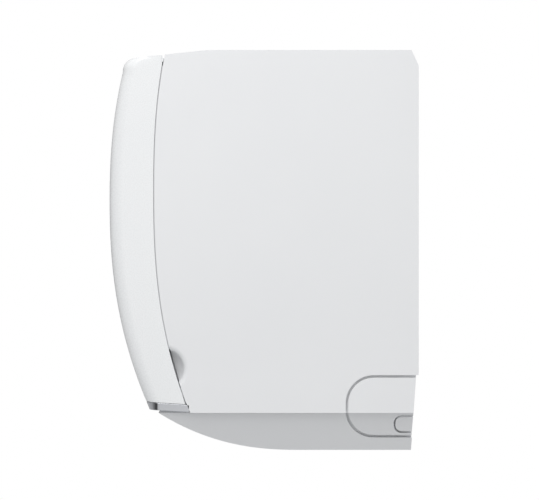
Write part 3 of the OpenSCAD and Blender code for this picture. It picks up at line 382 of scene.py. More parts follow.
def coated_fins():
    """Aluminium fin stock with a bluish water-shedding coat. The fins stand 1.5 mm apart and are
    drawn as bands: light bands for the fins' edges, and dark bands that are painted shade in the
    gaps between them."""
    mat, tree, at = fresh("coated_fin_stock_painted_gap_shade")
    fin_gap_shade_bands = add(tree, "ShaderNodeTexWave", {"Vector": at, "Scale": 1 / (0.0015 * 3.1832),
                                           "Distortion": 0.0, "Detail": 0.0},
               wave_type="BANDS", bands_direction="X")
    dust = add(tree, "ShaderNodeTexNoise", {"Vector": at, "Scale": 1 / 0.025, "Detail": 3.0})
    # painted shade: the dark band colour stands for the shade between the fins
    mix = add(tree, "ShaderNodeMix", {0: fin_gap_shade_bands.outputs["Fac"], 6: tone("#3f484e"),
                                      7: tone("#b9cad3")}, data_type="RGBA")
    gloss = add(tree, "ShaderNodeMapRange", {"Value": dust.outputs[0], "To Min": 0.3,
                                             "To Max": 0.5})
    bump = add(tree, "ShaderNodeBump", {"Height": fin_gap_shade_bands.outputs["Fac"], "Strength": 0.6,
                                        "Distance": 0.4 * MM})
    shader = add(tree, "ShaderNodeBsdfPrincipled", {
        "Base Color": mix.outputs[2], "Roughness": gloss.outputs[0], "Normal": bump.outputs[0],
        "Metallic": 0.85})
    return close(mat, tree, shader)


def foamed(name, colour, shade, cell_mm, depth_mm, roughness=0.85):
    """Closed-cell foam or soft rubber: small round cells catch the light, with no gloss."""
    mat, tree, at = fresh(name)
    cells = add(tree, "ShaderNodeTexVoronoi", {"Vector": at, "Scale": 1000.0 / cell_mm})
    mix = add(tree, "ShaderNodeMix", {0: cells.outputs["Distance"], 6: tone(colour),
                                      7: tone(shade)}, data_type="RGBA")
    bump = add(tree, "ShaderNodeBump", {"Height": cells.outputs["Distance"], "Strength": 0.5,
                                        "Distance": depth_mm * MM})
    shader = add(tree, "ShaderNodeBsdfPrincipled", {
        "Base Color": mix.outputs[2], "Roughness": roughness, "Normal": bump.outputs[0],
        "IOR": 1.5})
    return close(mat, tree, shader)


def filter_net():
    """Woven polypropylene net. The real threads are 0.7 mm apart, drawn at 2 mm so that they show:
    light threads, with the squares between them painted dark as the shade seen through the
    openings."""
    mat, tree, at = fresh("woven_polypropylene_net")
    warp = add(tree, "ShaderNodeTexWave", {"Vector": at, "Scale": 1 / (0.002 * 3.1832)},
               wave_type="BANDS", bands_direction="X")
    weft = add(tree, "ShaderNodeTexWave", {"Vector": at, "Scale": 1 / (0.002 * 3.1832)},
               wave_type="BANDS", bands_direction="Z")
    high = add(tree, "ShaderNodeMath", {0: warp.outputs["Fac"], 1: weft.outputs["Fac"]},
               operation="MAXIMUM")
    # painted shade: the dark colour fills the openings between the threads
    mix = add(tree, "ShaderNodeMix", {0: high.outputs[0], 6: tone("#22272b"),
                                      7: tone("#7c868d")}, data_type="RGBA")
    bump = add(tree, "ShaderNodeBump", {"Height": high.outputs[0], "Strength": 0.7,
                                        "Distance": 0.3 * MM})
    shader = add(tree, "ShaderNodeBsdfPrincipled", {
        "Base Color": mix.outputs[2], "Roughness": 0.6, "Normal": bump.outputs[0], "IOR": 1.49})
    return close(mat, tree, shader)


def soldered_board():
    """Glass-fibre board under green solder mask: copper tracks about 1.5 mm wide show through as
    a lighter green."""
    mat, tree, at = fresh("solder_masked_glass_fibre_board")
    tracks = add(tree, "ShaderNodeTexBrick", {
        "Vector": at, "Scale": 1 / 0.012, "Mortar Size": 0.05, "Color1": tone("#0f4a2c"),
        "Color2": tone("#125334"), "Mortar": tone("#2c8a58")})
    shader = add(tree, "ShaderNodeBsdfPrincipled", {
        "Base Color": tracks.outputs["Color"], "Roughness": 0.32, "IOR": 1.52,
        "Coat Weight": 0.3})
    return close(mat, tree, shader)


# Satin-gloss ABS: polished tool, so the panel alone shows long soft reflections
PANEL_WHITE = moulded("satin_gloss_abs_white", "#f6f7f8", "#f2f4f5", 0.27, 0.8, 0.006, coat=0.25)
# Fine spark-eroded ABS: even, quiet white of the covers
COVER_WHITE = moulded("fine_grained_abs_white", "#f1f2f3", "#ecedef", 0.46, 0.5, 0.012)
# The cover's white ABS made a little darker, as painted shade for the lower housing and chassis,
# which are the same white seen in shade
HOUSING_WHITE_PAINTED_SHADE = moulded("fine_grained_abs_white_painted_shade", "#ecedee", "#e7e8ea", 0.5, 0.5, 0.014)
# Unpainted polypropylene of the vanes: slightly waxy
VANE_WHITE = moulded("moulded_polypropylene_white", "#e4e5e5", "#dbdcdd", 0.42, 0.7, 0.01)
# Acetal of the small hooks, bar and button: smooth and a little greyer
CLIP_GREY = moulded("moulded_acetal_grey", "#c9cdd0", "#c1c5c9", 0.36, 0.6, 0.006)
# Smoked acrylic of the receiver's window: deep and glossy
SMOKED = moulded("smoked_acrylic", "#1b1c1f", "#232427", 0.08, 1.5, 0.001, coat=0.6)
# Glass-filled AS of the impeller: dull black with a glassy fleck
FAN_BLACK = moulded("glass_filled_as_black", "#2b2d30", "#383b3f", 0.5, 0.4, 0.02)
# Flame-retardant ABS of the electrical box: warm ivory
BOX_IVORY = moulded("flame_retardant_abs_ivory", "#dedbd0", "#d6d3c7", 0.52, 0.5, 0.012)
# Moulded bodies of the components and the terminal block
COMPONENT_DARK = moulded("moulded_component_black", "#24272c", "#30343a", 0.45, 0.6, 0.01)
# Glass-reinforced rail of the filters' frames
FILTER_RAIL = moulded("moulded_polypropylene_slate", "#6a7279", "#636b72", 0.48, 0.6, 0.01)
# Expanded polystyrene in a vacuum-formed skin: the drain pan
PAN_WHITE = foamed("expanded_polystyrene_pan", "#f0f0ee", "#e2e2df", 3.0, 0.08)
# Closed-cell polyethylene sleeve of the pipes
SLEEVE = foamed("closed_cell_polyethylene_sleeve", "#dcdcda", "#c8c8c5", 1.2, 0.12)
# Soft ribbed polyethylene of the drain hose
HOSE_WHITE = moulded("ribbed_polyethylene_hose", "#dfdfdb", "#d4d4cf", 0.5, 1.0, 0.02)
# Nitrile rubber round the bearing
RUBBER = foamed("moulded_nitrile_rubber", "#161616", "#202020", 0.8, 0.02, 0.7)
# Chromium on plastic: a mirror with a very faint waviness
CHROME = plated("vacuum_metallised_chrome", "#d2d4d8", "#c8cace", 0.08, 30.0, spread=0.02)
# Zinc-plated turned steel
ZINC_STEEL = plated("zinc_plated_turned_steel", "#c2c3c6", "#a9abb0", 0.3, 1.5, stretch=(0.3, 1, 1))
# Deep-drawn motor shells
MOTOR_SHELL = plated("deep_drawn_plated_steel", "#9a9da1", "#85888c", 0.4, 4.0)
# Drawn copper tube, dulled unevenly by handling
COPPER = plated("drawn_copper_tube", "#c77a52", "#9c5738", 0.3, 14.0, spread=0.12)
BRASS = plated("turned_brass", "#c9a555", "#ad8a3f", 0.26, 1.2, stretch=(3, 0.4, 0.4))
BRONZE = plated("sintered_bronze", "#8f6a3a", "#6d4e2a", 0.55, 0.8)
ZINC_SHEET = spangled_zinc()
FINS = coated_fins()
NET = filter_net()
BOARD = soldered_board()

SLOT_FINISH = {
    "panel_white": PANEL_WHITE, "case_white": COVER_WHITE, "housing_grey": HOUSING_WHITE_PAINTED_SHADE,
    "vane_white": VANE_WHITE, "clip_grey": CLIP_GREY, "foam_white": PAN_WHITE,
    "hose_white": HOSE_WHITE, "chrome_trim": CHROME, "smoked_lens": SMOKED, "steel": ZINC_STEEL,
    "galvanised_steel": ZINC_SHEET, "fin_aluminium": FINS, "copper": COPPER, "brass": BRASS,
    "bronze": BRONZE, "black_rubber": RUBBER, "filter_grey": NET, "fan_grey": FAN_BLACK,
    "motor_steel": MOTOR_SHELL, "box_ivory": BOX_IVORY, "board_green": BOARD,
    "component_dark": COMPONENT_DARK, "foam_grey": SLEEVE,
}
SLOT_OF = {part["node"]: part["material_slot"] for part in frame["record"]["subparts"]}
for node, obj in frame["nodes"].items():
    if not obj.material_slots:
        obj.data.materials.append(SLOT_FINISH[SLOT_OF[node]])
    for slot in obj.material_slots:
        slot.material = SLOT_FINISH[SLOT_OF[node]]


def fit(obj, finish, body, slot, *nodes):
    """Gives a finished piece its material, its body and the CAD nodes that it stands for."""
    obj.data.materials.clear()
    obj.data.materials.append(finish)
    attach(obj, body)
    if nodes:
        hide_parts(*nodes)
    return obj


# ---------------------------------------------------------------- front panel
PANEL_BACK = 1.6        # how far the panel's top reaches behind the hinge
LENS_GAP = 0.3


def panel_profile(shift):
    """The panel's outer line from its lower edge to the hinge, moved back by shift."""
    flank_z = TOP - 14.0    # the corner starts near here
    corner_z = top_z(panel_y(flank_z)) - CORNER_R
    cy = panel_y(corner_z) + CORNER_R
    cz = top_z(cy) - CORNER_R
    lens = node_span("receiver_lens", 2)
    heights = sorted(steps(TRIM_Z, corner_z, 44) + [lens[0] - LENS_GAP, lens[1] + LENS_GAP])
    line = [(panel_y(z) + shift, z) for z in heights]
    line += [(cy + shift - CORNER_R * math.cos(math.radians(a)),
              cz + CORNER_R * math.sin(math.radians(a))) for a in steps(6, 84, 9)]
    back = PIVOT_Y + PANEL_BACK
    line += [(y, top_z(y) - 0.25 * (y == back)) for y in steps(cy + shift, back, 3)]
    line[0] = (line[0][0], trim_top(line[0][0]) + 0.1)
    return line


def front_panel():
    angles = steps(0, 90, 9)
    stations = [(-HALF + END_R - END_R * math.sin(math.radians(a)),
                 END_R * (1 - math.cos(math.radians(a)))) for a in reversed(angles)]
    lens_x, lens_z = node_span("receiver_lens", 0), node_span("receiver_lens", 2)
    flat = steps(-HALF + END_R, HALF - END_R, 8)[1:-1] + [
        lens_x[0] - LENS_GAP, lens_x[1] + LENS_GAP]
    stations += [(x, 0.0) for x in sorted(flat)]
    stations += [(HALF - END_R + END_R * math.sin(math.radians(a)),
                  END_R * (1 - math.cos(math.radians(a)))) for a in angles]
    points, faces = [], []
    rows = len(panel_profile(0.0))
    for x, shift in stations:
        points += [(x, y, z) for y, z in panel_profile(shift)]
    heights = [z for _, z in panel_profile(0.0)]
    for s in range(len(stations) - 1):
        for i in range(rows - 1):
            middle_x = (stations[s][0] + stations[s + 1][0]) / 2
            middle_z = (heights[i] + heights[i + 1]) / 2
            over_lens = lens_x[0] - 1 < middle_x < lens_x[1] + 1
            if over_lens and lens_z[0] - 0.4 < middle_z < lens_z[1] + 0.4:
                continue
            k = s * rows + i
            faces.append([k, k + rows, k + rows + 1, k + 1])
    # end walls, from the rounded edge back to the seam
    for station, x in ((0, -HALF), (len(stations) - 1, HALF)):
        start = len(points)
        for y, z in panel_profile(END_R):
            back = seam_y(z) - SEAM_GAP if z < PIVOT_Z - HINGE_R else PIVOT_Y + PANEL_BACK
            points.append((x, max(back, y), trim_top(back) + 0.15 if z < TRIM_Z else z))
        for i in range(rows - 1):
            k = station * rows + i
            faces.append([k, k + 1, start + i + 1, start + i])
    shell = thicken(new_piece("panel_shell", points, faces), PANEL_WALL - 0.2, (0, -1, 0))
    reach = LUG_W / 2 + 0.4
    for x in LUG_X:
        cut(shell, prism("lug_gap", arc(PIVOT_Y, PIVOT_Z, HINGE_R + 0.6, 0, 350, 35),
                         x - reach, x + reach))
    # bead that turns on the hinge pins, in the four stretches between the lugs
    bead = []
    starts = [-HALF + 0.4] + [x + reach + 0.2 for x in LUG_X]
    ends = [x - reach - 0.2 for x in LUG_X] + [HALF - 0.4]
    for x0, x1 in zip(starts, ends):
        bead.append(prism("bead", arc(PIVOT_Y, PIVOT_Z, HINGE_R - 0.1, 0, 345, 23), x0, x1))
    # stiffening ribs behind the face, as on any moulded door
    ribs = []
    for x in steps(-HALF + 90, HALF - 90, 6):
        line = [(panel_y(z) + PANEL_WALL - 0.4, z) for z in steps(70, 250, 20)]
        back = [(y + 4.0, z) for y, z in reversed(line)]
        ribs.append(prism("rib", line + back, x - 0.8, x + 0.8))
    return break_edges(join("front_panel_moulding", [shell] + bead + ribs), 0.45)


fit(front_panel(), PANEL_WHITE, "front_panel", "panel_white", "front_panel")


def trim_strip():
    """Metallised strip along the panel's lower edge, with a return at each end."""
    front = panel_y(TRIM_Z)
    back = seam_y(LOWER_H) - SEAM_GAP
    outer = [(-HALF, back)] + [
        (-HALF + END_R - END_R * math.cos(math.radians(a)),
         front + END_R - END_R * math.sin(math.radians(a))) for a in steps(0, 90, 9)]
    outer += [(HALF - END_R + END_R * math.sin(math.radians(a)),
               front + END_R - END_R * math.cos(math.radians(a))) for a in steps(0, 90, 9)]
    inner_x, inner_y = HALF - 15.8, front + 14.8
    outer += [(HALF, back), (inner_x, back), (inner_x, inner_y), (-inner_x, inner_y),
              (-inner_x, back)]
    slant, slant_depth, draw = 2.2, 6.0, 0.0022     # the front face leans back, the ends draw in
    low_front, low_fall = 29.3, 1.7
    span = back - front
    upper = [(x, y, trim_top(y) - 0.15) for x, y in outer]
    lower = []
    for x, y in outer:
        nose = max(0.0, 1 - (y - front) / slant_depth)
        lower.append((x * (1 - draw * nose), y + slant * nose,
                      low_front - low_fall * (y - front) / span))
    n = len(outer)
    faces = [[i, (i + 1) % n, n + (i + 1) % n, n + i] for i in range(n)]
    faces += [list(range(n))[::-1], list(range(n, 2 * n))]
    return break_edges(new_piece("trim_strip", upper + lower, faces), 0.3, 3)


fit(trim_strip(), CHROME, "front_panel", "chrome_trim", "panel_trim")


# ---------------------------------------------------------------- cover with its grille
def notch_bowl(side):
    """The finger notch as a turned cutter: a shallow bowl with a softly rounded rim."""
    radius = math.hypot(NOTCH_R, NOTCH_OUT)
    rim_r = math.sqrt((radius + NOTCH_RIM) ** 2 - (NOTCH_OUT + NOTCH_RIM) ** 2)
    lean = math.degrees(math.atan2(rim_r, NOTCH_OUT + NOTCH_RIM))
    profile = [(2.0, rim_r), (0.0, rim_r)]
    profile += [(-NOTCH_RIM + NOTCH_RIM * math.cos(math.radians(a)),
                 rim_r - NOTCH_RIM * math.sin(math.radians(a))) for a in steps(0, lean, 10)[1:]]
    profile += [(NOTCH_OUT - radius * math.cos(math.radians(a)),
                 radius * math.sin(math.radians(a))) for a in steps(lean, 1.0, 20)[1:]]
    turns = 96
    points, faces = [], []
    for depth, r in profile:
        for k in range(turns):
            a = 2 * math.pi * k / turns
            points.append((side * (HALF + depth), NOTCH_Y + r * math.cos(a),
                           NOTCH_Z + r * math.sin(a)))
    for i in range(len(profile) - 1):
        for k in range(turns):
            m = (k + 1) % turns
            faces.append([i * turns + k, i * turns + m, (i + 1) * turns + m, (i + 1) * turns + k])
    faces += [list(range(turns)), [(len(profile) - 1) * turns + k for k in range(turns)]]
    return new_piece("bowl", points, faces)


def cover_outline(grow, back=None):
    """Outline of the pipe cover, grown on every side but the rear."""
    return rounded_corner(-COVER_DEPTH - grow, COVER_LOW - grow, COVER_TOP + grow,
                          COVER_R + grow, back)


def end_wall(side):
    x0, x1 = sorted((side * (HALF - WALL), side * HALF))
    line = [(seam_y(z), z) for z in steps(LOWER_H + 0.05, SEAM_TOP_Z, 60)]
    line += [(-TOP_FLAT, TOP), (-5.0, TOP), (0.0, TOP - 11.0), (0.0, COVER_TOP + GROOVE),
             (rear_y(LOWER_H), LOWER_H + 0.05)]
    wall = prism("end_wall", line, x0, x1)
    # pad behind the finger notch, in which its bowl is sunk
    a, b = sorted((side * (HALF - 12.0), side * (HALF - 0.6)))
    band = [(seam_y(z) + 0.3, z) for z in steps(NOTCH_Z - 18, NOTCH_Z + 18, 18)]
    cut(wall, prism("pad", band + [(y + 11.5, z) for y, z in reversed(band)], a, b), "UNION")
    cut(wall, notch_bowl(side))
    gap = cover_outline(GROOVE / 2, PAST_REAR)
    cut(wall, prism("gap", gap, min(a, x0) - 3, max(b, x1) + 3))
    return break_edges(wall, 0.4, 3)


def seam_rebate(side):
    """Lip of the end wall that closes most of the seam's depth, so that it reads as a fine line."""
    a, b = sorted((side * (HALF - WALL), side * (HALF - 1.7)))
    parts = []
    for low, high in ((TRIM_Z - 1.5, NOTCH_Z - 14.0), (NOTCH_Z + 14.0, PIVOT_Z - 4.5)):
        line = [(seam_y(z) - SEAM_GAP + 0.12, z) for z in steps(low, high, 40)]
        parts.append(prism("rebate", line + [(y + 1.2, z) for y, z in reversed(line)], a, b))
    return join("rebate", parts)


def intake_top():
    """Top wall: a bar every 18 mm over the fan and fine cross bars between, as the grille has."""
    low, high = node_span("fan_rotor", 0)
    front, back, pitch, bar = -145.0, -24.0, 18.0, 5.0
    inner = HALF - WALL + 0.4
    rim = [(seam_y(SEAM_TOP_Z), SEAM_TOP_Z), (-TOP_FLAT, TOP), (front, TOP), (front, TOP - WALL),
           (-TOP_FLAT, TOP - WALL), (seam_y(SEAM_TOP_Z), SEAM_TOP_Z - WALL)]
    rear = [(back, TOP), (-5.0, TOP), (0.0, TOP - 11.0), (0.0, TOP - 28.0), (-WALL, TOP - 28.0),
            (-WALL, TOP - 12.0), (-6.0, TOP - WALL), (back, TOP - WALL)]
    parts = [prism("top_front", rim, -inner, inner), prism("top_rear", rear, -inner, inner)]
    last = low
    bars = []
    while last <= high - pitch + 1e-6:
        bars.append((last + pitch - bar, last + pitch, front, back, TOP - WALL, TOP))
        last += pitch
    bars.append((-inner, low, front, back, TOP - WALL, TOP))
    bars.append((last, inner, front, back, TOP - WALL, TOP))
    for y in steps(front + 7.5, back - 7.5, 14):
        bars.append((low, last, y - 0.8, y + 0.8, TOP - WALL + 0.2, TOP - 0.5))
    parts.append(boxes("top_bars", bars))
    return break_edges(join("intake_top", parts), 0.35, 2)


def front_frame():
    """Frame behind the panel, with the two windows over the filters."""
    reach = HALF - 14.0
    frame_top = TOP - 19.0
    left, right = node_span("filter_left", 0), node_span("filter_right", 0)
    lens = node_span("receiver_lens", 0)
    lens_z = (53.0, 62.0)
    window_z = (78.0, frame_top - 14.0)
    behind_seam = 8.5
    xs = sorted({-reach, left[0] + 5, left[1] - 5, right[0] + 5, right[1] - 5, lens[0] - 1,
                 lens[1] + 1, reach})
    zs = sorted(set(steps(36.0, frame_top, 46)) | set(window_z) | set(lens_z))
    profile = [(seam_y(z) - 12.0, z) for z in zs]
    # the top of the frame keeps clear of the bead that turns on the hinge pins
    profile += [(PIVOT_Y + 3.0, PIVOT_Z - 8.0), (PIVOT_Y + 8.5, SEAM_TOP_Z - WALL + 0.1)]
    points = [(x, y, z) for x in xs for y, z in profile]
    faces = []
    rows = len(profile)
    for i in range(len(xs) - 1):
        x = (xs[i] + xs[i + 1]) / 2
        for j in range(rows - 1):
            z = (profile[j][1] + profile[j + 1][1]) / 2
            over_filter = left[0] + 5 < x < left[1] - 5 or right[0] + 5 < x < right[1] - 5
            if over_filter and window_z[0] < z < window_z[1]:
                continue
            if lens[0] - 1 < x < lens[1] + 1 and lens_z[0] < z < lens_z[1]:
                continue
            k = i * rows + j
            faces.append([k, k + rows, k + rows + 1, k + 1])
    # returns at the two ends, back to the end walls and behind the seam
    for side in (-1, 1):
        start = len(points)
        for y, z in profile:
            back = seam_y(min(z, SEAM_TOP_Z)) + behind_seam
            points += [(side * reach, y, z), (side * reach, back, z),
                       (side * (HALF - WALL + 0.2), back, z)]
        for j in range(rows - 1):
            k = start + 3 * j
            faces.append([k, k + 1, k + 4, k + 3])
            faces.append([k + 1, k + 2, k + 5, k + 4])
    skin = new_piece("front_frame", points, faces)
    mod = skin.modifiers.new("wall", "SOLIDIFY")
    mod.thickness = WALL * MM
    mod.offset = 0.0
    return break_edges(bake(skin), 0.4, 2)


def hinge_lugs():
    """Lugs that carry the hinge pins, and the seats under the heads of the three screws."""
    parts = []
    seat_z, seat_r = 50.0, 5.0
    for x in LUG_X:
        arm = arc(PIVOT_Y, PIVOT_Z, HINGE_R, 90, 270, 14)
        arm += [(PIVOT_Y + 9.0, PIVOT_Z - HINGE_R), (PIVOT_Y + 6.0, PIVOT_Z + 2.7)]
        parts.append(prism("lug", arm, x - LUG_W / 2, x + LUG_W / 2))
    low, high = node_span("screws", 0)
    for x in (low + 4.0, -10.0, high - 4.0):
        seat = steps(0, 345, 23)
        y = node_span("screws", 1)[0] + 1.8
        points = [(x + seat_r * math.cos(math.radians(a)), y,
                   seat_z + seat_r * math.sin(math.radians(a))) for a in seat]
        points += [(px, py + 3.0, pz) for px, py, pz in points]
        n = len(seat)
        faces = [[i, (i + 1) % n, n + (i + 1) % n, n + i] for i in range(n)]
        parts.append(new_piece("seat", points, faces + [list(range(n))]))
    return break_edges(join("lugs", parts), 0.25, 2)


cover = join("cover_moulding", [end_wall(1), end_wall(-1), seam_rebate(1), seam_rebate(-1),
                                intake_top(), front_frame(), hinge_lugs()])
fit(cover, COVER_WHITE, "unit", "case_white", "case")


# ---------------------------------------------------------------- lower housing
def lower_housing():
    """Tray under the fan: curved up to the front, its ends sloping in, open over the louvre."""
    slot_x = node_span("louvre", 0)[1] - 5.0 + 1.5
    slot_back = node_span("louvre", 1)[1] + 7.3
    ys = sorted(set(steps(-LOWER_TIP, -LOWER_FLAT, 48)) | {slot_back, -LOWER_TIP + 5.0})
    profile = [(y, under_z(y)) for y in ys] + [(rear_y(0.0), 0.0), (rear_y(LOWER_H), LOWER_H)]
    rows = len(profile)
    points, faces = [], []
    for k in (-1, -slot_x, slot_x, 1):
        for y, z in profile:
            points.append((k * end_x(min(z, LOWER_H)) if abs(k) == 1 else k, y, z))
    for column in range(3):
        for j in range(rows - 1):
            y = (profile[j][0] + profile[j + 1][0]) / 2
            if j == rows - 2:
                continue
            if column == 1 and y < slot_back:
                continue
            k = column * rows + j
            faces.append([k, k + rows, k + rows + 1, k + 1])
    for side in (-1, 1):
        start = len(points)
        points += [(side * end_x(z), y, z) for y, z in profile]
        ring = [start + j for j in range(rows)]
        faces.append(ring if side > 0 else ring[::-1])
    tray = thicken(new_piece("lower_tray", points, faces), WALL, (0, 0, -1))
    reach = HALF + 5.0
    gap = cover_outline(GROOVE / 2, PAST_REAR)
    for side in (-1, 1):
        x0, x1 = sorted((side * (HALF - 45.0), side * reach))
        cut(tray, prism("gap", gap, x0, x1))
    parts = [tray]
    cheek = [(-LOWER_TIP + 11, 44.0)]
    cheek += [(y, under_z(y) + 0.6) for y in steps(-LOWER_TIP + 11, slot_back, 12)]
    cheek += [(slot_back + 1.0, 2.0), (slot_back + 1.0, 44.0)]
    for side in (-1, 1):
        x0, x1 = sorted((side * slot_x, side * (slot_x + 2.5)))
        parts.append(prism("cheek", cheek, x0, x1))
    # the pan closes the outlet from above, and this stretch beside it belongs to the housing
    pan_end = node_span("drain_pan", 0)[1] + 3.2
    parts.append(boxes("ceiling", [
        (pan_end, slot_x + 0.3, -LOWER_TIP + 11, slot_back + 2.3, 43.5, 46.0),
        (pan_end, slot_x + 0.3, slot_back - 0.1, slot_back + 2.3, 3.0, 46.0)]))
    return break_edges(join("lower_housing_moulding", parts), 0.4, 2)


# The lower housing takes the darker copy of the cover's white, as painted shade
fit(lower_housing(), HOUSING_WHITE_PAINTED_SHADE, "unit", "housing_grey", "bottom_housing")


# ---------------------------------------------------------------- knock-out covers
def clip_outline(outline, z, keep_above):
    """The part of an outline above or below a height."""
    result = []
    n = len(outline)
    for i in range(n):
        a, b = outline[i], outline[(i + 1) % n]
        inside_a = (a[1] >= z) == keep_above
        inside_b = (b[1] >= z) == keep_above
        if inside_a:
            result.append(a)
        if inside_a != inside_b:
            t = (z - a[1]) / (b[1] - a[1])
            result.append((a[0] + t * (b[0] - a[0]), z))
    return result


def knock_out(name, side, outline, inset, wall):
    """A panel that follows the flat end wall above and the sloping end below."""
    upper = clip_outline(outline, LOWER_H, True)
    lower = clip_outline(outline, LOWER_H, False)
    points, faces = [], []
    for part, x_of in ((upper, lambda z: HALF), (lower, lambda z: end_x(min(z, LOWER_H)))):
        if len(part) < 3:
            continue
        start = len(points)
        points += [(side * (x_of(z) - inset), y, z) for y, z in part]
        ring = [start + i for i in range(len(part))]
        faces.append(ring if side > 0 else ring[::-1])
    if len(upper) > 2 and len(lower) > 2:
        ys = [p[0] for p in upper if abs(p[1] - LOWER_H) < 1e-6]
        y0, y1 = min(ys), max(ys)
        start = len(points)
        outer, inner = HALF - inset, end_x(LOWER_H) - inset
        points += [(side * outer, y0, LOWER_H), (side * outer, y1, LOWER_H),
                   (side * inner, y1, LOWER_H), (side * inner, y0, LOWER_H)]
        faces.append([start, start + 1, start + 2, start + 3])
    return thicken(new_piece(name, points, faces), wall, (side, 0, 0))


def cable_outline(grow, back=None):
    """Outline of the cable cover, grown on every side but the rear."""
    return rounded_corner(-17.0 - grow, 13.0 - grow, 24.5 + grow, 5.0 + grow, back)


def pipe_cover(side, name):
    """Large knock-out: a face inside its groove, and a plate behind that closes the groove."""
    face = knock_out("cover_face", side, cover_outline(-GROOVE / 2), 0.0, WALL + 1.0)
    back = knock_out("cover_back", side, cover_outline(GROOVE / 2 + 2.0), WALL + 0.9, 1.0)
    hole = cable_outline(0.6, PAST_REAR)
    x0, x1 = sorted((side * (HALF - 50), side * (HALF + 5)))
    cut(face, prism("hole", hole, x0, x1))
    cut(back, prism("hole", hole, x0, x1))
    return break_edges(join(name, [face, back]), 0.35, 2)


def cable_cover(side, name):
    """Small knock-out inside the large one, made the same way."""
    face = knock_out("cable_face", side, cable_outline(-0.6), 0.0, WALL + 2.2)
    back = knock_out("cable_back", side, cable_outline(2.0), WALL + 2.1, 0.8)
    return break_edges(join(name, [face, back]), 0.3, 2)


def paint_shade_below_edge(obj):
    """Below the cover's edge a knock-out's faces take the lower housing's darker copy of the white,
    as painted shade; the real knock-out is one white moulding.
    """
    obj.data.materials.append(HOUSING_WHITE_PAINTED_SHADE)
    for face in obj.data.polygons:
        if (face.center.z - BASE_Z) / MM < LOWER_H - 0.05:
            face.material_index = 1


# painted shade: each knock-out is made darker below the cover's edge
for side, end in ((1, "right"), (-1, "left")):
    paint_shade_below_edge(fit(pipe_cover(side, "pipe_knock_out_" + end), COVER_WHITE, "unit",
                         "case_white", "pipe_cover_" + end))
    paint_shade_below_edge(fit(cable_cover(side, "cable_knock_out_" + end), COVER_WHITE, "unit",
                         "case_white", "cable_cover_" + end))


# ---------------------------------------------------------------- louvre
def louvre_flap():
    """Flap that follows the underside, with an ear and a pin at each end."""
    x0, x1 = node_span("louvre", 0)
    y0, y1 = node_span("louvre", 1)
    half = x1 - 5.0
    pin_y, pin_z = louvre_pivot()
    low = [(y, under_z(y)) for y in steps(y0, y1, 40)]
    high = [(y, z + 3.0) for y, z in reversed(low)]
    parts = [prism("flap", low + high, -half, half)]
    for side in (-1, 1):
        a, b = sorted((side * (half - 3.0), side * half))
        ear = arc(pin_y, pin_z, 6.0, 80, -20, 12)
        ear += [(pin_y + 12.0, under_z(pin_y + 12.0) + 1.0), (pin_y, under_z(pin_y) + 1.0),
                (pin_y - 18.0, under_z(pin_y - 18.0) + 1.0), (pin_y - 30.0, pin_z + 4.0)]
        parts.append(prism("ear", ear, a, b))
        a, b = sorted((side * (half - 3.0), side * (half + 5.0)))
        parts.append(prism("pin", arc(pin_y, pin_z, 3.0, 0, 345, 23), a, b))
    return break_edges(join("louvre_moulding", parts), 0.7, 3, 40.0)


def louvre_pivot():
    joint = [j for j in frame["record"]["behaviour"]["joints"] if j["name"] == "louvre_tilt"][0]
    _, y, z = joint["pos_m"]
    return y / MM, (z - BASE_Z) / MM


fit(louvre_flap(), PANEL_WHITE, "louvre", "panel_white", "louvre")


# ---------------------------------------------------------------- drain hose
def drain_hose():
    """Ribbed hose: out of the pan, along the end, down at the back and along the wall."""
    low, high = node_span("drain_hose", 0)
    hose_x = low + 9.0
    start_y, back_y, hose_z = node_span("drain_pan", 1)[0] + 10.5, -13.0, 28.0
    start_z, bend, drop = 60.5, 20.0, 16.0
    path_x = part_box("drain_pan")[0][0] / MM + 8.0
    path = [(x, start_y, start_z) for x in steps(path_x, hose_x + bend, 4)]
    path += [(hose_x + bend - bend * math.sin(math.radians(a)),
              start_y + bend - bend * math.cos(math.radians(a)), start_z)
             for a in steps(0, 90, 12)[1:]]
    path += [(hose_x, y, start_z) for y in steps(start_y + bend, back_y - drop, 60)[1:]]
    path += [(hose_x, back_y - drop + drop * math.sin(math.radians(a)),
              start_z - drop + drop * math.cos(math.radians(a))) for a in steps(0, 90, 12)[1:]]
    path += [(hose_x + drop - drop * math.cos(math.radians(a)), back_y,
              start_z - drop - drop * math.sin(math.radians(a))) for a in steps(0, 90, 12)[1:]]
    path += [(x, back_y, hose_z) for x in steps(hose_x + drop, high - 24.0, 96)[1:]]
    ribbed = sweep("ribs", path, lambda i: 8.9 if i % 2 else 7.6)
    x0, x1 = high - 26.0, high
    cuff = [(x0, 9.2), (x0 + 1.5, 10.0), (x1 - 1.0, 10.0), (x1, 9.3), (x1, 7.2), (x1 - 22.0, 7.0)]
    sleeve = sweep("cuff", [(x, back_y, hose_z) for x, _ in cuff], lambda i: cuff[i][1], 40)
    return join("ribbed_hose", [ribbed, sleeve])


hose = drain_hose()
fit(hose, HOSE_WHITE, "unit", "hose_white", "drain_hose")


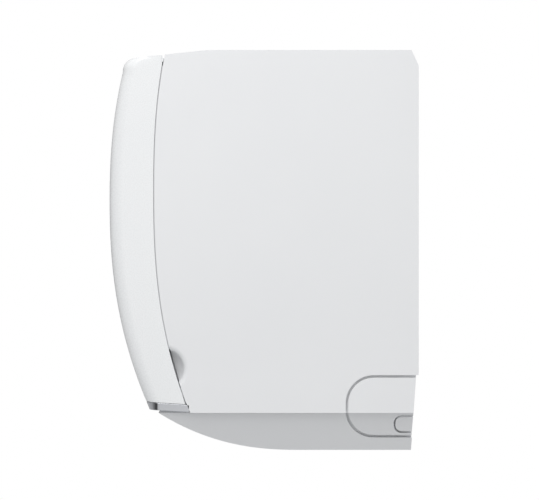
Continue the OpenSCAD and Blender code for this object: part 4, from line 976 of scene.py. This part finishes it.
# ---------------------------------------------------------------- filters
def air_filter(name):
    """Bowed frame with rails and a net."""
    x0, x1 = node_span(name, 0)
    line = [(seam_y(z) - 5.0, z) for z in steps(74.0, TOP - 41.0, 14)]
    tops = [(seam_y(TOP - 19.0) + 8.0, TOP - 27.0), (-165.0, TOP - 17.0), (-140.0, TOP - 12.0),
            (-102.0, TOP - 10.0)]
    line += tops

    def strip(t0, t1):
        out, back = [], []
        for i, (y, z) in enumerate(line):
            a, b = line[max(0, i - 1)], line[min(len(line) - 1, i + 1)]
            length = math.hypot(b[0] - a[0], b[1] - a[1])
            ny, nz = -(b[1] - a[1]) / length, (b[0] - a[0]) / length
            out.append((y + t0 * ny, z + t0 * nz))
            back.append((y + t1 * ny, z + t1 * nz))
        return out + back[::-1]
    rails = []
    middle = (x0 + x1) / 2
    for a, b in ((x0, x0 + 6), (middle - 2, middle + 2), (x1 - 6, x1),
                 ((x0 + middle) / 2 - 1, (x0 + middle) / 2 + 1),
                 ((x1 + middle) / 2 - 1, (x1 + middle) / 2 + 1)):
        rails.append(prism("rail", strip(-1.2, 1.2), a, b))
    for i in range(0, len(line) - 1, 2):
        (ya, za), (yb, zb) = line[i], line[i + 1]
        yb, zb = ya + 0.15 * (yb - ya), za + 0.15 * (zb - za)
        length = math.hypot(yb - ya, zb - za)
        ny, nz = -(zb - za) / length * 1.1, (yb - ya) / length * 1.1
        rails.append(prism("cross", [(ya - ny, za - nz), (yb - ny, zb - nz), (yb + ny, zb + nz),
                                     (ya + ny, za + nz)], x0 + 0.5, x1 - 0.5))
    grid = break_edges(join(name + "_frame", rails), 0.25, 2, 50.0)
    net = prism(name + "_net", strip(-0.25, 0.25), x0 + 1, x1 - 1)
    for face in net.data.polygons:
        face.use_smooth = True
    return grid, net


for name in ("filter_left", "filter_right"):
    grid, net = air_filter(name)
    fit(grid, FILTER_RAIL, "unit", "filter_grey", name)
    fit(net, NET, "unit", "filter_grey")


# ---------------------------------------------------------------- floor, light and camera
# The unit hangs at its usual height, 1.8 m above the floor
floor_finish, floor_tree, floor_at = fresh("pale_studio_floor")
floor_cloud = add(floor_tree, "ShaderNodeTexNoise", {"Vector": floor_at, "Scale": 2.0})
floor_mix = add(floor_tree, "ShaderNodeMix", {0: floor_cloud.outputs[0], 6: tone("#d6d7d8"),
                                              7: tone("#d2d3d4")}, data_type="RGBA")
close(floor_finish, floor_tree, add(floor_tree, "ShaderNodeBsdfPrincipled", {
    "Base Color": floor_mix.outputs[2], "Roughness": 0.8}))
floor_mesh = bpy.data.meshes.new("floor")
floor_z = BASE_Z - 1.8
floor_mesh.from_pydata([(-6, -6, floor_z), (6, -6, floor_z), (6, 6, floor_z), (-6, 6, floor_z)],
                       [], [[0, 1, 2, 3]])
floor = bpy.data.objects.new("floor", floor_mesh)
bpy.context.scene.collection.objects.link(floor)
floor.data.materials.append(floor_finish)

FRONT_FILL, END_FILL = 0.45, 0.9
world = bpy.data.worlds.new("studio")
bpy.context.scene.world = world
world.use_nodes = True
# A white backdrop. The light it gives is softer than the white that is seen, weaker from the
# front than from the end, and dark along the horizon, as a studio is between floor and softboxes
tree = world.node_tree
tree.nodes.clear()
seen = add(tree, "ShaderNodeLightPath")
ray = add(tree, "ShaderNodeSeparateXYZ", {0: add(tree, "ShaderNodeTexCoord").outputs["Generated"]})
side_light = add(tree, "ShaderNodeMapRange", {
    "Value": ray.outputs["Y"], "From Min": -1.0, "From Max": 0.2, "To Min": FRONT_FILL,
    "To Max": END_FILL})
level = add(tree, "ShaderNodeMath", {0: ray.outputs["Z"]}, operation="ABSOLUTE")
above = add(tree, "ShaderNodeMapRange", {
    "Value": level.outputs[0], "From Min": 0.05, "From Max": 0.22, "To Min": 0.12, "To Max": 1.0})
behind = add(tree, "ShaderNodeMapRange", {
    "Value": ray.outputs["X"], "From Min": 0.86, "From Max": 0.95, "To Min": 0.0, "To Max": 1.0})
open_air = add(tree, "ShaderNodeMath", {0: above.outputs[0], 1: behind.outputs[0]},
               operation="MAXIMUM")
fill = add(tree, "ShaderNodeMath", {0: side_light.outputs[0], 1: open_air.outputs[0]},
           operation="MULTIPLY")
strength = add(tree, "ShaderNodeMath", {0: fill.outputs[0], 1: seen.outputs["Is Camera Ray"]},
               operation="MAXIMUM")
sky = add(tree, "ShaderNodeBackground", {"Color": (1.0, 1.0, 1.0, 1.0),
                                         "Strength": strength.outputs[0]})
add(tree, "ShaderNodeOutputWorld", {"Surface": sky.outputs[0]})


def softbox(name, at, target, size, power):
    """A rectangular lamp that looks at target."""
    light = bpy.data.lights.new(name, "AREA")
    light.shape = "RECTANGLE"
    light.size, light.size_y = size
    light.energy = power
    obj = bpy.data.objects.new(name, light)
    obj.location = at
    obj.rotation_euler = (Vector(target) - Vector(at)).to_track_quat("-Z", "Y").to_euler()
    bpy.context.scene.collection.objects.link(obj)


centre = Vector((0.0, -DEPTH * MM / 2, BASE_Z + TOP * MM / 2))
softbox("end_light", (HALF * MM + 0.9, -0.42, BASE_Z + 0.85), (HALF * MM, -0.11, centre.z),
        (0.6, 0.6), 5.0)
softbox("front_light", (0.4, -2.0, 1.6), centre, (1.6, 1.6), 6.0)
softbox("rear_light", (-1.0, 1.8, 1.2), centre, (1.4, 1.4), 14.0)

# The camera looks square at the right-hand end, from far enough to show it almost flat
VIEW_WIDTH = TOP * MM * 1.34414
CAMERA_REAR, CAMERA_UP = 0.0102, 0.00093    # off centre, as shares of the view's width
DISTANCE = 4.0
camera_data = bpy.data.cameras.new("camera")
camera_data.sensor_width = 36.0
camera_data.lens = 36.0 * DISTANCE / VIEW_WIDTH
camera = bpy.data.objects.new("camera", camera_data)
camera.location = (HALF * MM + DISTANCE, centre.y + CAMERA_REAR * VIEW_WIDTH,
                   centre.z + CAMERA_UP * VIEW_WIDTH)
camera.rotation_euler = (math.radians(90), 0.0, math.radians(90))
bpy.context.scene.collection.objects.link(camera)
bpy.context.scene.camera = camera
bpy.context.scene.view_settings.view_transform = "Standard"
